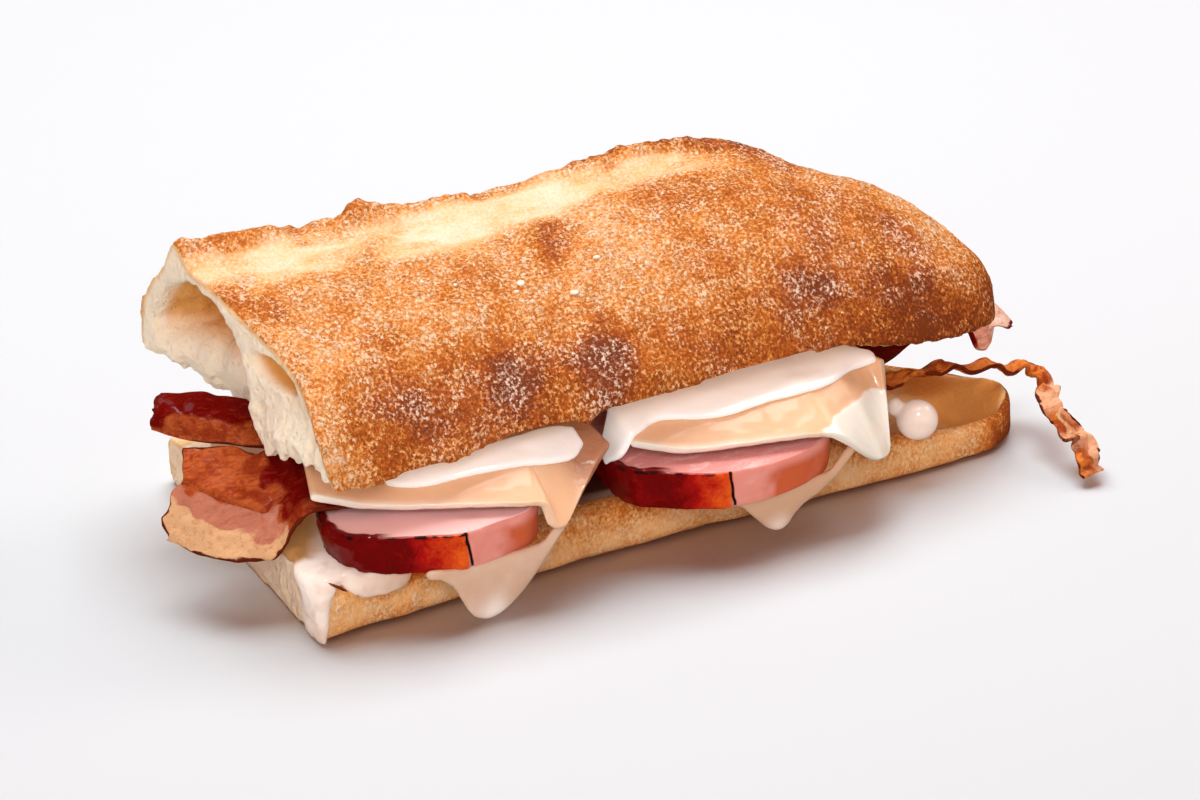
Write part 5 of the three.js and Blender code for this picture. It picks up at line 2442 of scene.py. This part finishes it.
RASHERS = (
    Rasher("bacon_back", (
        (-14, 18, 41), (-4, 15.5, 40), (6, 10.6, 38), (20, 13, 33), (50, 15, 31.6), (84, 14, 31.6)), (
        (-17.4, 15.4, 33.6), (-9, 7.4, 32), (4, -1, 31), (20, -5, 30.4), (50, -7, 30.4), (84, -7, 30.4)),
        4.2, 0.3, 210, None, 1.7, 0.02),
    Rasher("bacon_front", (
        (-15, -3.3, 37), (-8, -5, 36.5), (0, -9, 35), (5, -10.4, 33), (9, -10.8, 32.4), (14, -11, 32),
        (45, -11, 31.4), (80, -12, 31.4)), (
        (-25, -12, 19), (-14.5, -26, 17.6), (-4.8, -30, 17.3), (-0.8, -31.4, 23.6), (3, -33.4, 28.2),
        (14, -36, 29.4), (45, -36, 29.8), (80, -34, 30)), 3.0, 0.32, 230, (0.63, 0.45), 1.3, 0.035),
    CurledRasher("bacon_curl", (
        (213.8, -22.3, 25.0), (210.5, -19, 29.2), (207, -16, 32.4), (203, -13.5, 34.2), (198, -10, 33.6),
        (188, -7, 32), (172, -5, 31.4), (150, 0, 31.6), (118, 5, 31.6)), (
        (212.8, -22.8, 23.4), (207, -22.8, 25.0), (205.4, -23.4, 20.0), (202.4, -23.6, 19.6),
        (199, -22.6, 26.2), (190, -20.6, 31), (183, -20.8, 26), (169, -21, 20.5), (118, -13, 30)),
        -0.4, 0.3, 250, None, 1.3, 0.012),
)
LONG_RASHER = CrispRasher("bacon_long", (
    (207.4, -70, 3.4), (207.1, -67, 6.8), (209.2, -63, 9), (208.2, -59, 10.3), (207.8, -54, 11.9),
    (207.7, -50, 13.3), (208.6, -46, 14.2), (213.3, -41, 13.7), (213.4, -37, 15.3), (212.2, -33, 16.5),
    (207.6, -31, 16.9), (200.5, -29, 18.0), (189.7, -28, 19.4), (180.1, -28, 20.9), (171.1, -27, 19.6),
    (158, -26, 26), (146, -24, 29.6), (124, -20, 31), (98, -19, 31)), 270)
RIBBONS = (
    SauceRibbon("sauce_top_left", (
        (21.7, -36.8), (24.4, -39.0), (31, -41.8), (38.6, -43.2), (48.3, -45.6), (58.8, -47.0), (67.7, -46.2),
        (71.6, -43.4)), (
        (22, -35), (27, -33), (34, -33), (42, -35), (48, -36.6), (57, -36.2), (67, -36), (71.6, -37.8))),
    SauceRibbon("sauce_top_right", (
        (79.5, -40), (82, -44.5), (87.5, -43.5), (91.9, -42.1), (97.9, -44), (102.7, -45.8), (109.9, -47.9),
        (121.3, -47.9), (129.5, -48.7), (139.3, -47.3), (150.7, -41.6), (157.6, -40.8)), (
        (79.5, -36), (83, -33), (88, -30), (94, -29), (100, -28), (106, -28), (112, -28), (122, -28),
        (132, -28), (142, -30), (151, -33), (158.4, -38)), 2.2),
)


def main() -> None:
    """Builds the sandwich from its crumb outwards and sets it on the table."""
    logging.basicConfig(level=logging.INFO, format="%(message)s")
    bread = CrustFinish().material("bread")
    lower = LowerBread().build()
    upper = UpperBread().build()
    BENCH.finish(lower, LOWER_CRUST.material("bread_lower", 0.60), "bread_bottom", Slot.BREAD)
    BENCH.finish(upper, bread, "bread_top", Slot.BREAD)
    BENCH.finish(FlourCrumbs().build(upper), bread, "bread_top", Slot.BREAD)
    BENCH.finish(BrownFlake().build(), bread, "bread_bottom", Slot.BREAD)
    hams = (HamFinish().material("ham"), ROSY_HAM.material("ham_rosy"))
    cheese = CheeseFinish().material("cheese")
    slices = [slice_.build() for slice_ in (*HAMS, *CHEESES)]
    for slice_, piece, material in zip((*HAMS, *CHEESES), slices, (*hams, cheese, cheese)):
        BENCH.finish(piece, material, slice_.node, Slot.HAM if slice_ in HAMS else Slot.CHEESE)
    bacon = BaconFinish().material("bacon")
    bacons = (bacon, bacon, PALE_BACON.material("bacon_pale"), CRISP_BACON.material("bacon_crisp"))
    for rasher, finish in zip((*RASHERS, LONG_RASHER), bacons):
        BENCH.finish(rasher.build(), finish, rasher.node, Slot.BACON)
    sauce = SauceFinish().material("sauce")
    for ribbon, cheese_slice in zip(RIBBONS, slices[2:]):
        BENCH.finish(ribbon.build([cheese_slice, *slices[:2]]), sauce, ribbon.node, Slot.SAUCE)
    for pour in (SauceUnderHam(), Bubbles()):
        BENCH.finish(pour.build(), sauce, pour.node, Slot.SAUCE)
    Studio().build()


if __name__ == "__main__":
    main()
